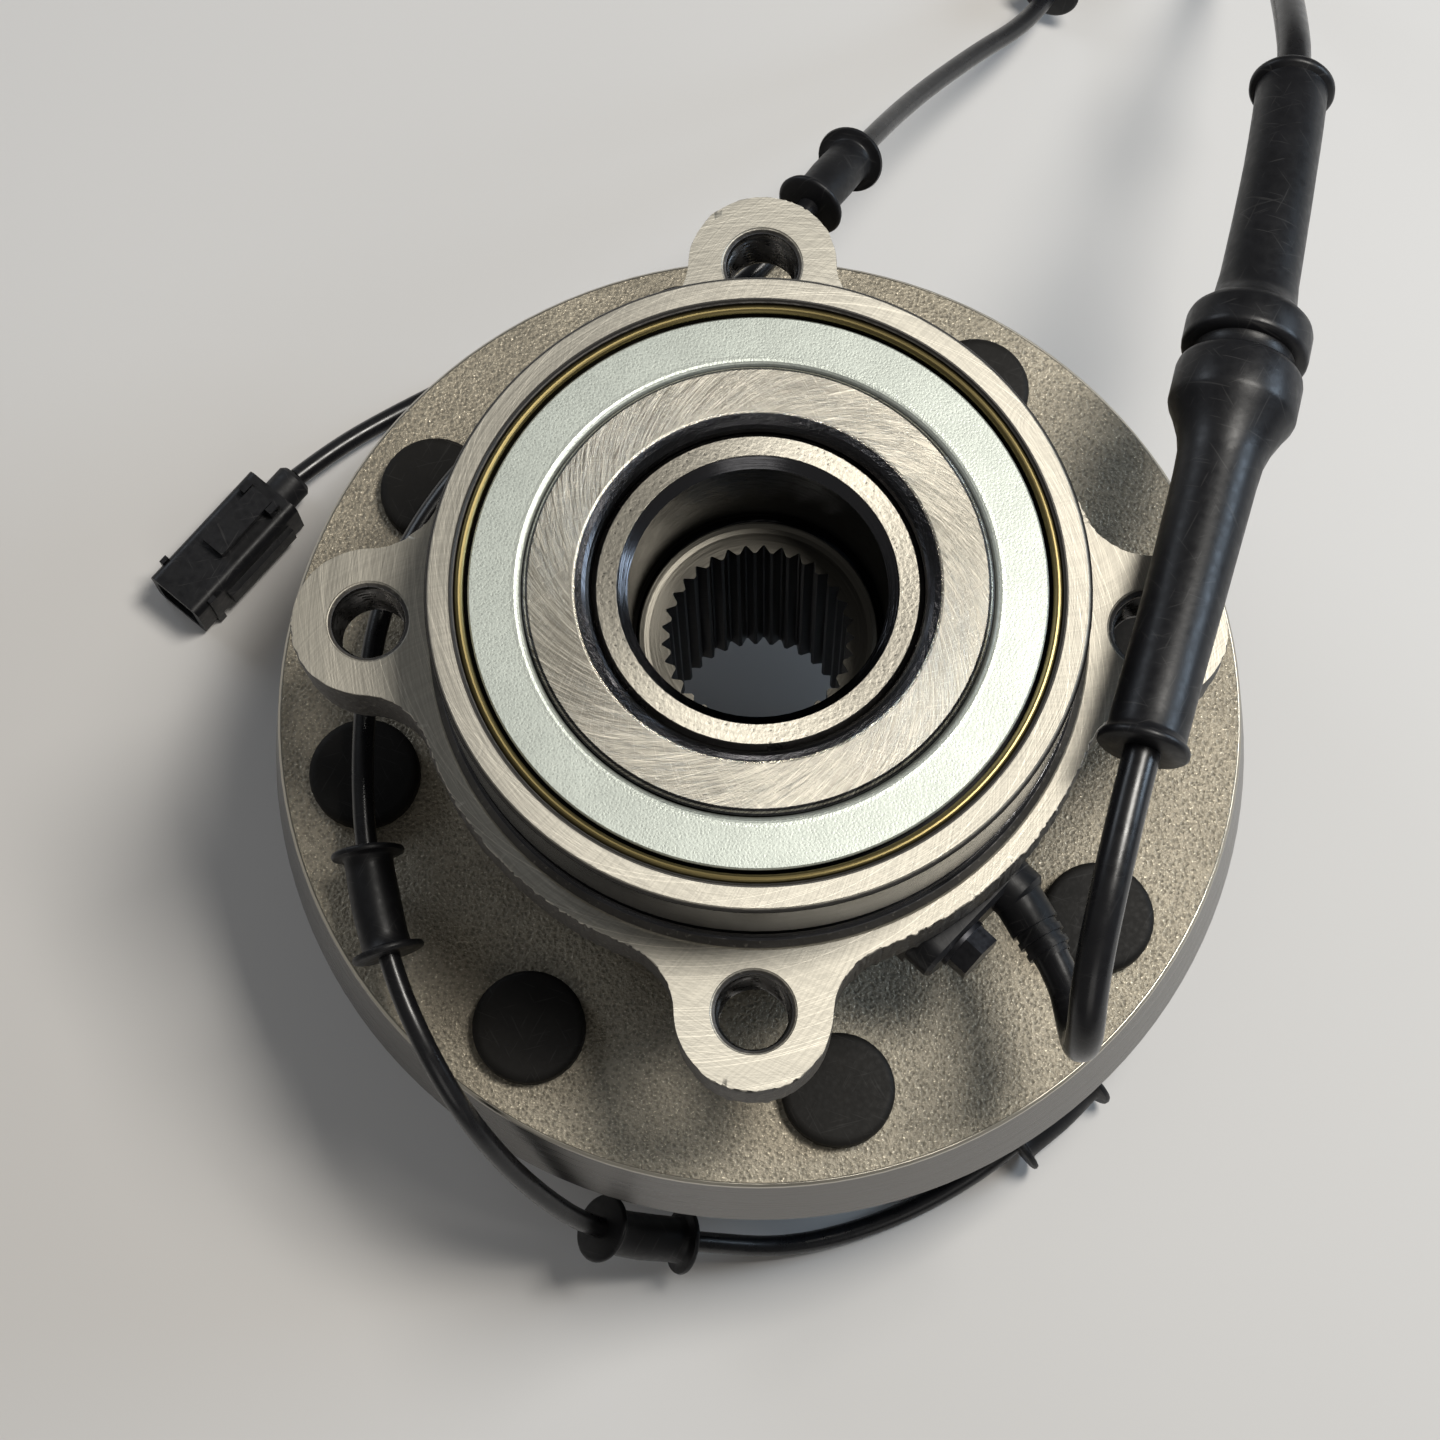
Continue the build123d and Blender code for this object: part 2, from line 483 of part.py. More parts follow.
def outer_ring():
    """Forged ring with both outer raceways, the pilot, the mounting flange and the sensor pad."""
    low_seat = OUTER_BOTTOM + OUTBOARD_SEAL_DEPTH
    high_seat = OUTER_TOP - INBOARD_SEAL_DEPTH
    small = -CUP_END
    body = revolved([
        (SEAL_SEAT_RADIUS, OUTER_BOTTOM),
        (BARREL_RADIUS - 1.5, OUTER_BOTTOM),
        (BARREL_RADIUS, OUTER_BOTTOM + 1.5),
        (BARREL_RADIUS, MOUNT_BACK - MOUNT_FILLET),
        (BARREL_RADIUS + MOUNT_FILLET, MOUNT_BACK),
        (BARREL_RADIUS + MOUNT_FILLET, MOUNT_FACE),
        (PILOT_RADIUS + 1.6, MOUNT_FACE + 0.5),
        (PILOT_RADIUS, MOUNT_FACE + 2.2),
        (PILOT_RADIUS, OUTER_TOP - PILOT_CHAMFER),
        (PILOT_RADIUS - PILOT_CHAMFER, OUTER_TOP),
        (SEAL_SEAT_RADIUS + 0.5, OUTER_TOP),
        (SEAL_SEAT_RADIUS, OUTER_TOP - 0.5),
        (SEAL_SEAT_RADIUS, high_seat),
        (cup_radius(CUP_END), high_seat),
        (cup_radius(CUP_END), INBOARD_ROW + CUP_END),
        (cup_radius(small), INBOARD_ROW - CUP_END),
        (MID_LAND_RADIUS, INBOARD_ROW - CUP_END - 1.0),
        (MID_LAND_RADIUS, OUTBOARD_ROW + CUP_END + 1.0),
        (cup_radius(small), OUTBOARD_ROW + CUP_END),
        (cup_radius(CUP_END), OUTBOARD_ROW - CUP_END),
        (cup_radius(CUP_END), low_seat),
        (SEAL_SEAT_RADIUS, low_seat),
    ])
    body += mounting_flange() - Pos(0, 0, MOUNT_BACK) * Cylinder(BARREL_RADIUS, 3 * MOUNT_THICKNESS)
    groove = MOUNT_FACE + PILOT_GROOVE_FROM_FLANGE
    body -= washer(PILOT_RADIUS + 1, PILOT_RADIUS - PILOT_GROOVE_DEPTH, groove, groove + PILOT_GROOVE_WIDTH)
    hole = Cylinder(EAR_HOLE_RADIUS, MOUNT_THICKNESS + 2)
    mouth = Pos(0, 0, (MOUNT_THICKNESS - EAR_HOLE_CHAMFER) / 2) * Cone(
        EAR_HOLE_RADIUS, EAR_HOLE_RADIUS + EAR_HOLE_CHAMFER, EAR_HOLE_CHAMFER)
    for i in range(EAR_COUNT):
        place = Rot(0, 0, 360 / EAR_COUNT * i) * Pos(EAR_PITCH_RADIUS, 0, MOUNT_BACK + MOUNT_THICKNESS / 2)
        body -= place * hole
        body -= place * mouth
    pad_reach = SENSOR_PLATE_REACH
    pad_depth = SENSOR_FACE - SEAL_SEAT_RADIUS
    pad_height = MOUNT_BACK - SENSOR_HEIGHT + SENSOR_PLATE_HEIGHT / 2 + 0.5
    pad = Pos(SENSOR_FACE - pad_depth / 2, (SENSOR_HEAD_RADIUS + 1 - pad_reach) / 2,
              MOUNT_BACK - SENSOR_HEIGHT - pad_height / 2)
    pad = pad * Box(pad_depth, pad_reach + SENSOR_HEAD_RADIUS + 1, pad_height)
    around = Cylinder(2 * SENSOR_FACE, SENSOR_FACE) - Cylinder(SEAL_SEAT_RADIUS, SENSOR_FACE)
    keep = Pos(0, 0, SENSOR_HEIGHT) * around
    body += in_sensor_frame(pad) & keep
    spot_depth = 2 * SENSOR_PLATE_DEPTH
    spot = Pos(SENSOR_FACE + spot_depth / 2, (SENSOR_HEAD_RADIUS + 1 - pad_reach) / 2,
               MOUNT_BACK - SENSOR_HEIGHT - pad_height / 2)
    body -= in_sensor_frame(spot * Box(spot_depth, pad_reach + SENSOR_HEAD_RADIUS + 1, pad_height))
    body -= in_sensor_frame(across(PROBE_RADIUS + PROBE_HOLE_CLEARANCE, MID_LAND_RADIUS - 4, SENSOR_FACE + 4))
    tapped_end = SENSOR_FACE - SENSOR_BOLT_GRIP - 0.5
    tapped = across(SENSOR_BOLT_RADIUS, tapped_end, SENSOR_FACE + 1, SENSOR_BOLT_OFFSET)
    return body - in_sensor_frame(tapped)


# ---- wheel speed sensor ---------------------------------------------------------------
def sensor_exit():
    """Where the cable boss leaves the sensor head, and its direction, in the part's frame."""
    turn = radians(SENSOR_BOSS_TURN)
    base = radians(SENSOR_TURN)
    reach = SENSOR_FACE + SENSOR_PLATE_DEPTH
    start = Vector(reach * cos(base), reach * sin(base), SENSOR_HEIGHT)
    return start, Vector(cos(turn), sin(turn), 0)


def sensor_parts():
    """Sensor moulding, its bolt and its O-ring."""
    outer = SENSOR_FACE + SENSOR_PLATE_DEPTH
    width = SENSOR_PLATE_REACH + SENSOR_HEAD_RADIUS
    outline = Pos((SENSOR_HEAD_RADIUS - SENSOR_PLATE_REACH) / 2, 0) * RectangleRounded(
        width, SENSOR_PLATE_HEIGHT, SENSOR_PLATE_HEIGHT / 2 - 0.6)
    face = Plane(origin=(SENSOR_FACE, 0, 0), x_dir=(0, 1, 0), z_dir=(1, 0, 0))
    plate = extrude(face * outline, SENSOR_PLATE_DEPTH)
    plate = chamfer(plate.faces().sort_by(Axis.X)[-1].edges(), 0.8)
    head = across(SENSOR_HEAD_RADIUS, SENSOR_FACE, outer + SENSOR_HEAD_RISE)
    head = chamfer(head.faces().sort_by(Axis.X)[-1].edges(), 1.0)
    tip = TONE_RADIUS + PROBE_AIR_GAP
    probe = across(PROBE_RADIUS, tip, SENSOR_FACE)
    seal_at = SENSOR_FACE - O_RING_FROM_FACE
    seal_root = PROBE_RADIUS - O_RING_SECTION / 2
    groove = across(PROBE_RADIUS + 1, seal_at - O_RING_SECTION / 2, seal_at + O_RING_SECTION / 2)
    probe -= groove - across(seal_root, seal_at - O_RING_SECTION, seal_at + O_RING_SECTION)
    body = in_sensor_frame(plate + head + probe)
    start, direction = sensor_exit()
    boss = Plane(origin=start, z_dir=direction) * Pos(0, 0, SENSOR_BOSS_LENGTH / 2) * Cylinder(
        SENSOR_BOSS_RADIUS, SENSOR_BOSS_LENGTH)
    body += boss
    clear = SENSOR_BOLT_RADIUS + SENSOR_BOLT_CLEARANCE
    body -= in_sensor_frame(across(clear, SENSOR_FACE - 1, outer + 1, SENSOR_BOLT_OFFSET))
    shank = across(SENSOR_BOLT_RADIUS, SENSOR_FACE - SENSOR_BOLT_GRIP, outer + 0.5, SENSOR_BOLT_OFFSET)
    hexagon = extrude(RegularPolygon(SENSOR_BOLT_HEAD / 2, 6, major_radius=False), SENSOR_BOLT_HEAD_HEIGHT)
    hexagon = Pos(outer, SENSOR_BOLT_OFFSET, 0) * Rot(0, 90, 0) * hexagon
    hexagon += across(SENSOR_BOLT_HEAD / 2 + 0.9, outer, outer + 0.9, SENSOR_BOLT_OFFSET)
    bolt = in_sensor_frame(shank + hexagon)
    ring = across(PROBE_RADIUS + 0.04, seal_at - O_RING_SECTION / 2 + 0.1, seal_at + O_RING_SECTION / 2 - 0.1)
    ring -= across(seal_root, seal_at - O_RING_SECTION, seal_at + O_RING_SECTION)
    return body, bolt, in_sensor_frame(ring)


# ---- cords and what is on them -----------------------------------------------------------
def arc_radii(points):
    """The largest tangent arc that the runs on each side of every inner point allow."""
    radii = []
    for before, at, after in zip(points, points[1:], points[2:]):
        first = at - before
        second = after - at
        half_turn = radians(first.get_angle(second)) / 2
        radii.append(0.45 * min(first.length, second.length) / tan(half_turn))
    return radii


def cord_tube(name, points, radius):
    """A round cord along straight runs joined by tangent arcs."""
    points = [Vector(*p) for p in points]
    radii = arc_radii(points)
    path = FilletPolyline(*points, radius=radii)
    first = (points[1] - points[0]).normalized()
    tube = sweep(Plane(origin=points[0], z_dir=first) * Circle(radius), path=path)
    share = tube.volume / (pi * radius ** 2 * path.length)
    print(f"{name}: length {path.length:.1f}, volume share {share:.4f}, radii",
          " ".join(f"{r:.1f}" for r in radii))
    return tube


def along(start, end, outline):
    """A piece turned from (radius, distance) points about the line from start to end."""
    axis = Vector(*end) - Vector(*start)
    return Plane(origin=start, z_dir=axis.normalized()) * revolved(outline)


RELIEF_START = sensor_exit()[0] + sensor_exit()[1] * SENSOR_BOSS_LENGTH
RELIEF_END = RELIEF_START + sensor_exit()[1] * RELIEF_LENGTH

# route of the sleeved cable: out of the relief, up through a tight bend, over an ear and away
BOOT_START = (70.2, -28.4, 139.0)
BOOT_MIDDLE = (92.5, 49.6, 129.7)
BOOT_END = (108.7, 120.8, 113.0)
SLEEVE_ROUTE = [
    tuple(RELIEF_START),
    tuple(RELIEF_START + sensor_exit()[1] * RELIEF_LEAD_OUT),
    (60.6, -72.0, 104.5),
    (60.8, -78.5, 112.5),
    (60.6, -78.5, 124.0),
    (60.8, -69.5, 133.0),
    (63.8, -54.1, 138.7),
    BOOT_START,
    (81.7, 10.5, 134.4),
    BOOT_MIDDLE,
    BOOT_END,
    (110.9, 146.5, 97.0),
    (113.0, 166.0, 77.0),
]
# route of the thin lead: down to the ground, back over the flange, round the barrel,
# down past the rim and under the flange to the connector
LEAD_ROUTE = [
    (113.0, 166.0, 77.0),
    (114.89, 183.55, 59.0),
    (115.5, 199.0, 37.0),
    (113.5, 212.0, 16.0),
    (104.5, 223.5, 4.6),
    (89.0, 226.5, 4.2),
    (74.5, 218.5, 7.9),
    (70.5, 201.0, 9.9),
    (62.0, 186.0, 18.0),
    (49.0, 171.0, 31.0),
    (33.0, 148.0, 52.0),
    (21.0, 124.0, 76.0),
    (10.0, 104.0, 90.5),
    (-2.0, 84.0, 93.5),
    (-22.0, 72.5, 92.5),
    (-45.0, 59.5, 91.0),
    (-64.5, 41.0, 89.5),
    (-77.0, 17.0, 88.0),
    (-80.0, -8.0, 86.0),
    (-78.8, -34.0, 84.5),
    (-72.5, -59.0, 83.8),
    (-64.6, -76.0, 81.0),
    (-56.5, -88.5, 72.0),
    (-46.0, -98.0, 56.0),
    (-31.0, -104.5, 33.0),
    (-10.5, -106.0, 13.0),
    (6.0, -105.4, 4.6),
    (24.0, -101.0, 2.4),
    (41.0, -93.4, 4.0),
    (56.0, -83.5, 7.6),
    (75.0, -66.5, 7.6),
    (91.0, -40.0, 3.2),
    (99.0, -9.0, 2.4),
    (98.0, 24.0, 2.4),
    (86.0, 55.0, 2.4),
    (64.0, 81.0, 2.4),
    (35.0, 101.0, 2.4),
    (2.0, 112.0, 2.4),
    (-34.0, 112.5, 2.4),
    (-66.0, 102.0, 2.4),
    (-88.0, 89.5, 3.4),
    (-101.5, 79.6, 6.0),
    (-109.4, 72.2, 7.2),
]
CONNECTOR_TIP = (-137.0, 38.4, 7.2)
# each bobbin sits between two points of the lead: its start, and its share of the way to the next point
GROMMET_SPANS = [(6, 0.55), (11, 0.58), (19, 0.48), (24, 0.45), (29, 0.5)]


def strain_relief(cord):
    """Ribbed sleeve between the sensor boss and the sleeved cable."""
    rib = RELIEF_LENGTH / (2 * RELIEF_RIBS)
    outline = [(0, 0)]
    for i in range(RELIEF_RIBS):
        outer = SENSOR_BOSS_RADIUS - 0.25 * i
        outline += [(outer, 2 * i * rib), (outer, (2 * i + 1) * rib)]
        outline += [(outer - 0.7, (2 * i + 1) * rib), (outer - 0.7, (2 * i + 2) * rib)]
    outline.append((0, RELIEF_LENGTH))
    return along(RELIEF_START, RELIEF_END, outline) - cord


def frame_boot(cord):
    """Rubber frame boot: end flange, neck, grooved collar, tapered tail and end ring."""
    neck = (Vector(*BOOT_MIDDLE) - Vector(*BOOT_START)).length
    tail = (Vector(*BOOT_END) - Vector(*BOOT_MIDDLE)).length
    half = BOOT_COLLAR_WIDTH / 2
    groove = BOOT_GROOVE_WIDTH / 2
    lower = along(BOOT_START, BOOT_MIDDLE, [
        (0, 0), (BOOT_FLANGE_RADIUS, 0), (BOOT_FLANGE_RADIUS, BOOT_FLANGE_WIDTH),
        (BOOT_NECK_RADIUS, BOOT_FLANGE_WIDTH),
        (BOOT_NECK_RADIUS + 0.5, neck * 0.62), (BOOT_NECK_RADIUS + 1.6, neck * 0.75),
        (BOOT_COLLAR_RADIUS - 1.2, neck - half - 1), (BOOT_COLLAR_RADIUS, neck - half + 1),
        (BOOT_COLLAR_RADIUS - 0.5, neck - groove), (0, neck - groove),
    ])
    core = along(BOOT_START, BOOT_MIDDLE, [
        (0, neck - half), (BOOT_GROOVE_RADIUS, neck - half),
        (BOOT_GROOVE_RADIUS, neck + groove), (0, neck + groove),
    ])
    upper = along(BOOT_MIDDLE, BOOT_END, [
        (0, groove), (BOOT_COLLAR_RADIUS - 0.3, groove), (BOOT_COLLAR_RADIUS, half - 2.5),
        (BOOT_COLLAR_RADIUS - 1.6, half), (BOOT_TAIL_RADIUS + 1.2, half + 3.5),
        (BOOT_TAIL_RADIUS + 0.4, half + 6), (BOOT_TAIL_RADIUS, tail - BOOT_END_WIDTH),
        (BOOT_END_RADIUS - 0.8, tail - BOOT_END_WIDTH), (BOOT_END_RADIUS, tail - BOOT_END_WIDTH / 2),
        (BOOT_END_RADIUS - 0.8, tail), (0, tail),
    ])
    return lower + core + upper - cord


def splice_collar(sleeve, lead):
    """Moulded collar where the sleeve ends and the thin lead goes on."""
    joint = Vector(*LEAD_ROUTE[0])
    towards = (Vector(*LEAD_ROUTE[1]) - Vector(*SLEEVE_ROUTE[-2])).normalized()
    half = SPLICE_LENGTH / 2
    outline = [
        (0, 0), (SPLICE_RADIUS - 0.6, 0), (SPLICE_RADIUS, 1.2), (SPLICE_RADIUS, half),
        (LEAD_RADIUS + 1.2, SPLICE_LENGTH), (0, SPLICE_LENGTH),
    ]
    return along(joint - towards * half, joint + towards * half, outline) - sleeve - lead


def grommet(cord, index, share):
    """Rubber bobbin that clips the lead into a bracket."""
    start = Vector(*LEAD_ROUTE[index])
    run = Vector(*LEAD_ROUTE[index + 1]) - start
    axis = run.normalized()
    middle = start + run * share
    base = middle - axis * (GROMMET_LENGTH / 2)
    disc = GROMMET_DISC_WIDTH
    end_at = GROMMET_LENGTH
    outline = [
        (0, 0), (GROMMET_DISC_RADIUS - 0.5, 0), (GROMMET_DISC_RADIUS, 0.5), (GROMMET_DISC_RADIUS, disc - 0.5),
        (GROMMET_DISC_RADIUS - 0.5, disc), (GROMMET_RADIUS, disc), (GROMMET_RADIUS, end_at - disc),
        (GROMMET_DISC_RADIUS - 0.5, end_at - disc), (GROMMET_DISC_RADIUS, end_at - disc + 0.5),
        (GROMMET_DISC_RADIUS, end_at - 0.5), (GROMMET_DISC_RADIUS - 0.5, end_at), (0, end_at),
    ]
    return along(base, base + axis * end_at, outline) - cord


# ---- connector -------------------------------------------------------------------------------
def connector_frame():
    """The connector's own plane: origin at its rear, +Z towards its mouth, +X across, +Y up."""
    rear = Vector(*LEAD_ROUTE[-1])
    axis = (Vector(*CONNECTOR_TIP) - rear).normalized()
    return Plane(origin=rear, x_dir=Vector(0, 0, 1).cross(axis), z_dir=axis)


def connector_parts():
    """Housing with an open socket and a side rail, rear seal, latch and two contact pins."""
    place = connector_frame()
    start = CONNECTOR_SEAL_LENGTH
    end = start + CONNECTOR_LENGTH
    outline = RectangleRounded(CONNECTOR_WIDTH, CONNECTOR_HEIGHT, CONNECTOR_CORNER)
    shell = extrude(Plane.XY.offset(start) * outline, CONNECTOR_LENGTH)
    walls = 2 * CONNECTOR_WALL
    inside = RectangleRounded(CONNECTOR_WIDTH - walls, CONNECTOR_HEIGHT - walls, 1.2)
    shell -= extrude(Plane.XY.offset(end - CONNECTOR_SOCKET_DEPTH) * inside, CONNECTOR_SOCKET_DEPTH + 1)
    rail = Pos(CONNECTOR_WIDTH / 2 + 0.7, 0, start + CONNECTOR_LENGTH * 0.42)
    rail = rail * Box(1.8, 5.0, CONNECTOR_LENGTH * 0.62)
    band = Pos(0, 0, end - 5.0) * Box(CONNECTOR_WIDTH + 1.2, CONNECTOR_HEIGHT + 0.0, 2.0)
    band -= Pos(0, 0, end - 5.0) * Box(CONNECTOR_WIDTH - 1.0, CONNECTOR_HEIGHT + 2, 4.0)
    shell = shell + rail + band
    top = CONNECTOR_HEIGHT / 2
    hinge = Pos(0, top + LATCH_LIFT / 2, start + LATCH_HINGE_FROM_REAR)
    pin = Rot(0, 90, 0) * Cylinder(LATCH_PIN_RADIUS, LATCH_WIDTH + 3.0)
    shell += hinge * Box(LATCH_WIDTH + 4.0, LATCH_LIFT, 3.0)
    shell -= hinge * Box(LATCH_WIDTH + 2 * LATCH_CLEARANCE, LATCH_LIFT + 0.01, 4.0)
    shell -= hinge * Rot(0, 90, 0) * Cylinder(LATCH_PIN_RADIUS + 0.08, LATCH_WIDTH + 5.0)
    latch = hinge * Box(LATCH_WIDTH, LATCH_LIFT - 2 * LATCH_CLEARANCE, 2.0) + hinge * pin
    arm_at = (top + LATCH_LIFT - LATCH_CLEARANCE - LATCH_THICKNESS / 2,
              start + LATCH_HINGE_FROM_REAR - 1 + LATCH_LENGTH / 2)
    latch += Pos(0, *arm_at) * Box(LATCH_WIDTH, LATCH_THICKNESS, LATCH_LENGTH)
    seal = revolved([
        (0, 0.3), (CONNECTOR_SEAL_RADIUS - 0.8, 0.3), (CONNECTOR_SEAL_RADIUS, 1.2),
        (CONNECTOR_SEAL_RADIUS, start), (0, start),
    ])
    floor = end - CONNECTOR_SOCKET_DEPTH
    contact = Pos(PIN_SPACING / 2, 0, floor + PIN_LENGTH / 2) * Cylinder(PIN_RADIUS, PIN_LENGTH)
    pins = [contact, Rot(0, 0, 180) * contact]
    return place * shell, place * seal, place * latch, [place * pin for pin in pins]


# ---- write every node -------------------------------------------------------------------------
def main():
    os.makedirs("parts", exist_ok=True)
    save("outer_ring", outer_ring())
    save("hub_flange", hub_flange())
    save("wheel_studs", wheel_studs())
    save("inboard_inner_ring", inner_ring(INBOARD_ROW, 1, OUTER_TOP, RING_CORNER))
    save("outboard_inner_ring", inner_ring(OUTBOARD_ROW, -1, NECK_TOP, 0.8))
    for name, row, side in (("inboard", INBOARD_ROW, 1), ("outboard", OUTBOARD_ROW, -1)):
        save(f"{name}_rollers", roller_row(row, side))
        save(f"{name}_cage", cage(row, side))
    save("tone_ring", tone_ring())
    case, slinger, lip = inboard_seal()
    save("inboard_seal_case", case)
    save("inboard_slinger", slinger)
    save("inboard_seal_lip", lip)
    case, lip = outboard_seal()
    save("outboard_seal_case", case)
    save("outboard_seal_lip", lip)
    body, bolt, ring = sensor_parts()
    sleeve = cord_tube("sleeve", SLEEVE_ROUTE, SLEEVE_RADIUS)
    lead = cord_tube("lead", LEAD_ROUTE, LEAD_RADIUS)
    save("sensor_body", body)
    save("sensor_bolt", bolt)
    save("sensor_o_ring", ring)
    save("sensor_strain_relief", strain_relief(sleeve))
    save("sensor_sleeve", sleeve)
    save("frame_boot", frame_boot(sleeve))
    save("splice_collar", splice_collar(sleeve, lead))
    for number, (index, share) in enumerate(GROMMET_SPANS, 1):
        save(f"grommet_{number}", grommet(lead, index, share))
    housing, seal, latch, pins = connector_parts()
    save("sensor_lead", lead)
    save("connector_housing", housing)
    save("connector_seal", seal - lead)
    save("connector_latch", latch)
    save("connector_pins", pins)


main()
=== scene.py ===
import math

import bpy
from mathutils import Matrix, Vector, noise


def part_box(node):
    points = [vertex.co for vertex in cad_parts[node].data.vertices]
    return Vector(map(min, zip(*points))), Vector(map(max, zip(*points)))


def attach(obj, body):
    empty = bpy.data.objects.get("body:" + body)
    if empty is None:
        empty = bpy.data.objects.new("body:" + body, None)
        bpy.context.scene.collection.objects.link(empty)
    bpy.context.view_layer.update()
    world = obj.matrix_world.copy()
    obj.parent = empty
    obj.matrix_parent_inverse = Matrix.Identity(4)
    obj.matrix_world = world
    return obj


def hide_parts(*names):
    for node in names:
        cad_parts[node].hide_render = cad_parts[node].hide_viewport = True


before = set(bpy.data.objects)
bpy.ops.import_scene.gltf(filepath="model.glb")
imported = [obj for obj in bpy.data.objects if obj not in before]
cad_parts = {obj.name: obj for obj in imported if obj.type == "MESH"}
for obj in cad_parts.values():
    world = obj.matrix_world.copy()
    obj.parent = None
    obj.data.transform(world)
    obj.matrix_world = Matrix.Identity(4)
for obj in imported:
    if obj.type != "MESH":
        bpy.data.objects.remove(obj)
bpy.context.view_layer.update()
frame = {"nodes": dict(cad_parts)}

bl_info = {
    "name": "Wheel Hub Bearing",
    "version": (1, 0, 0),
    "blender": (4, 5, 0),
    "location": "View3D > Sidebar > Hub Bearing",
    "description": "Finishes, cords and soft pieces of a wheel hub bearing with its speed sensor lead",
    "category": "Object",
}

# ---- names, places and sizes, in millimetres unless a comment says otherwise
MM = 0.001
FIXED = "outer_race"
TURNING = "hub"
SLEEVE_ROUTE = [
    (53.116, -52.530, 102.3), (59.116, -62.922, 102.3), (60.6, -72.0, 104.5), (60.8, -78.5, 112.5),
    (60.6, -78.5, 124.0), (60.8, -69.5, 133.0), (63.8, -54.1, 138.7), (70.2, -28.4, 139.0),
    (81.7, 10.5, 134.4), (92.5, 49.6, 129.7), (108.7, 120.8, 113.0), (110.9, 146.5, 97.0),
    (113.0, 166.0, 77.0),
]
LEAD_ROUTE = [
    (113.0, 166.0, 77.0), (114.89, 183.55, 59.0), (115.5, 199.0, 37.0), (113.5, 212.0, 16.0),
    (104.5, 223.5, 4.6), (89.0, 226.5, 4.2), (74.5, 218.5, 7.9), (70.5, 201.0, 9.9),
    (62.0, 186.0, 18.0), (49.0, 171.0, 31.0), (33.0, 148.0, 52.0), (21.0, 124.0, 76.0),
    (10.0, 104.0, 90.5), (-2.0, 84.0, 93.5), (-22.0, 72.5, 92.5), (-45.0, 59.5, 91.0),
    (-64.5, 41.0, 89.5), (-77.0, 17.0, 88.0), (-80.0, -8.0, 86.0), (-78.8, -34.0, 84.5),
    (-72.5, -59.0, 83.8), (-64.6, -76.0, 81.0), (-56.5, -88.5, 71.0), (-46.0, -98.5, 49.0),
    (-33.0, -104.8, 25.5), (-10.5, -105.2, 12.5), (6.0, -105.4, 4.6), (24.0, -101.0, 2.4),
    (41.0, -93.4, 4.0), (56.0, -83.5, 7.6), (75.0, -66.5, 7.6), (91.0, -40.0, 3.2),
    (99.0, -9.0, 2.4), (98.0, 24.0, 2.4), (86.0, 55.0, 2.4), (64.0, 81.0, 2.4), (35.0, 101.0, 2.4),
    (2.0, 112.0, 2.4), (-34.0, 112.5, 2.4), (-66.0, 102.0, 2.4), (-88.0, 89.5, 3.4),
    (-101.5, 79.6, 6.0), (-109.4, 72.2, 7.2),
]
BOOT_ENDS = ((70.2, -28.4, 139.0), (108.7, 120.8, 113.0))
GROMMETS = 5
CORD_STEPS = 14
CORD_SIDES = 7

THREAD_PITCH = 1.5
RINGS_PER_TURN = 7
THREAD_CREST = 0.12
RING_TOLERANCE = 0.02
STUD_COUNT = 8
STUD_CIRCLE = 165.1
FIRST_STUD_TURN = 11.7
STUD_RADIUS = 6.98
STUD_THREAD = (1.6, 38.0)
STUD_THREAD_DEPTH = 0.85
STUD_PROFILE = [(5.2, 0.0), (5.5, 0.15), (6.9, 1.55)]
STUD_TAIL_PROFILE = [
    (6.98, 39.5), (6.98, 50.0), (7.38, 51.0), (7.38, 69.9), (11.0, 70.02), (11.32, 70.25),
    (11.4, 70.6), (11.4, 73.2), (11.28, 73.7), (10.95, 74.15), (10.4, 74.42), (9.6, 74.5),
    (4.0, 74.46),
]

EAR_COUNT = 4
EAR_PITCH_RADIUS = 74.4
EAR_RADIUS = 14.6
EAR_BLEND = 14.0
EAR_HOLE_RADIUS = 7.17
# radii over which the painted shade of the ear holes fades out
EAR_HOLE_SHADE_EDGE = (7.25, 7.35)
LINER_WALL = 0.05
LINER_LIP = 0.1
MOUNT_BASE_RADIUS = 66.3
MOUNT_FACE = 123.4
MOUNT_BACK = 108.4
EAR_THREAD = (MOUNT_BACK + 0.4, MOUNT_FACE - 1.0)
EAR_THREAD_DEPTH = 0.75

# height of each ring of the forged edge, and what it adds to the radius
EDGE_RINGS = [
    (MOUNT_BACK + 0.35, -0.55), (MOUNT_BACK + 1.2, -0.1), (111.5, 0.0), (114.5, 0.0), (117.5, 0.0),
    (120.5, 0.0), (122.4, 0.0), (123.1, -0.06), (MOUNT_FACE + 0.012, -0.22),
]
EDGE_POINTS = 1440
EDGE_STOCK = 0.28
EDGE_DEPTH = 1.6

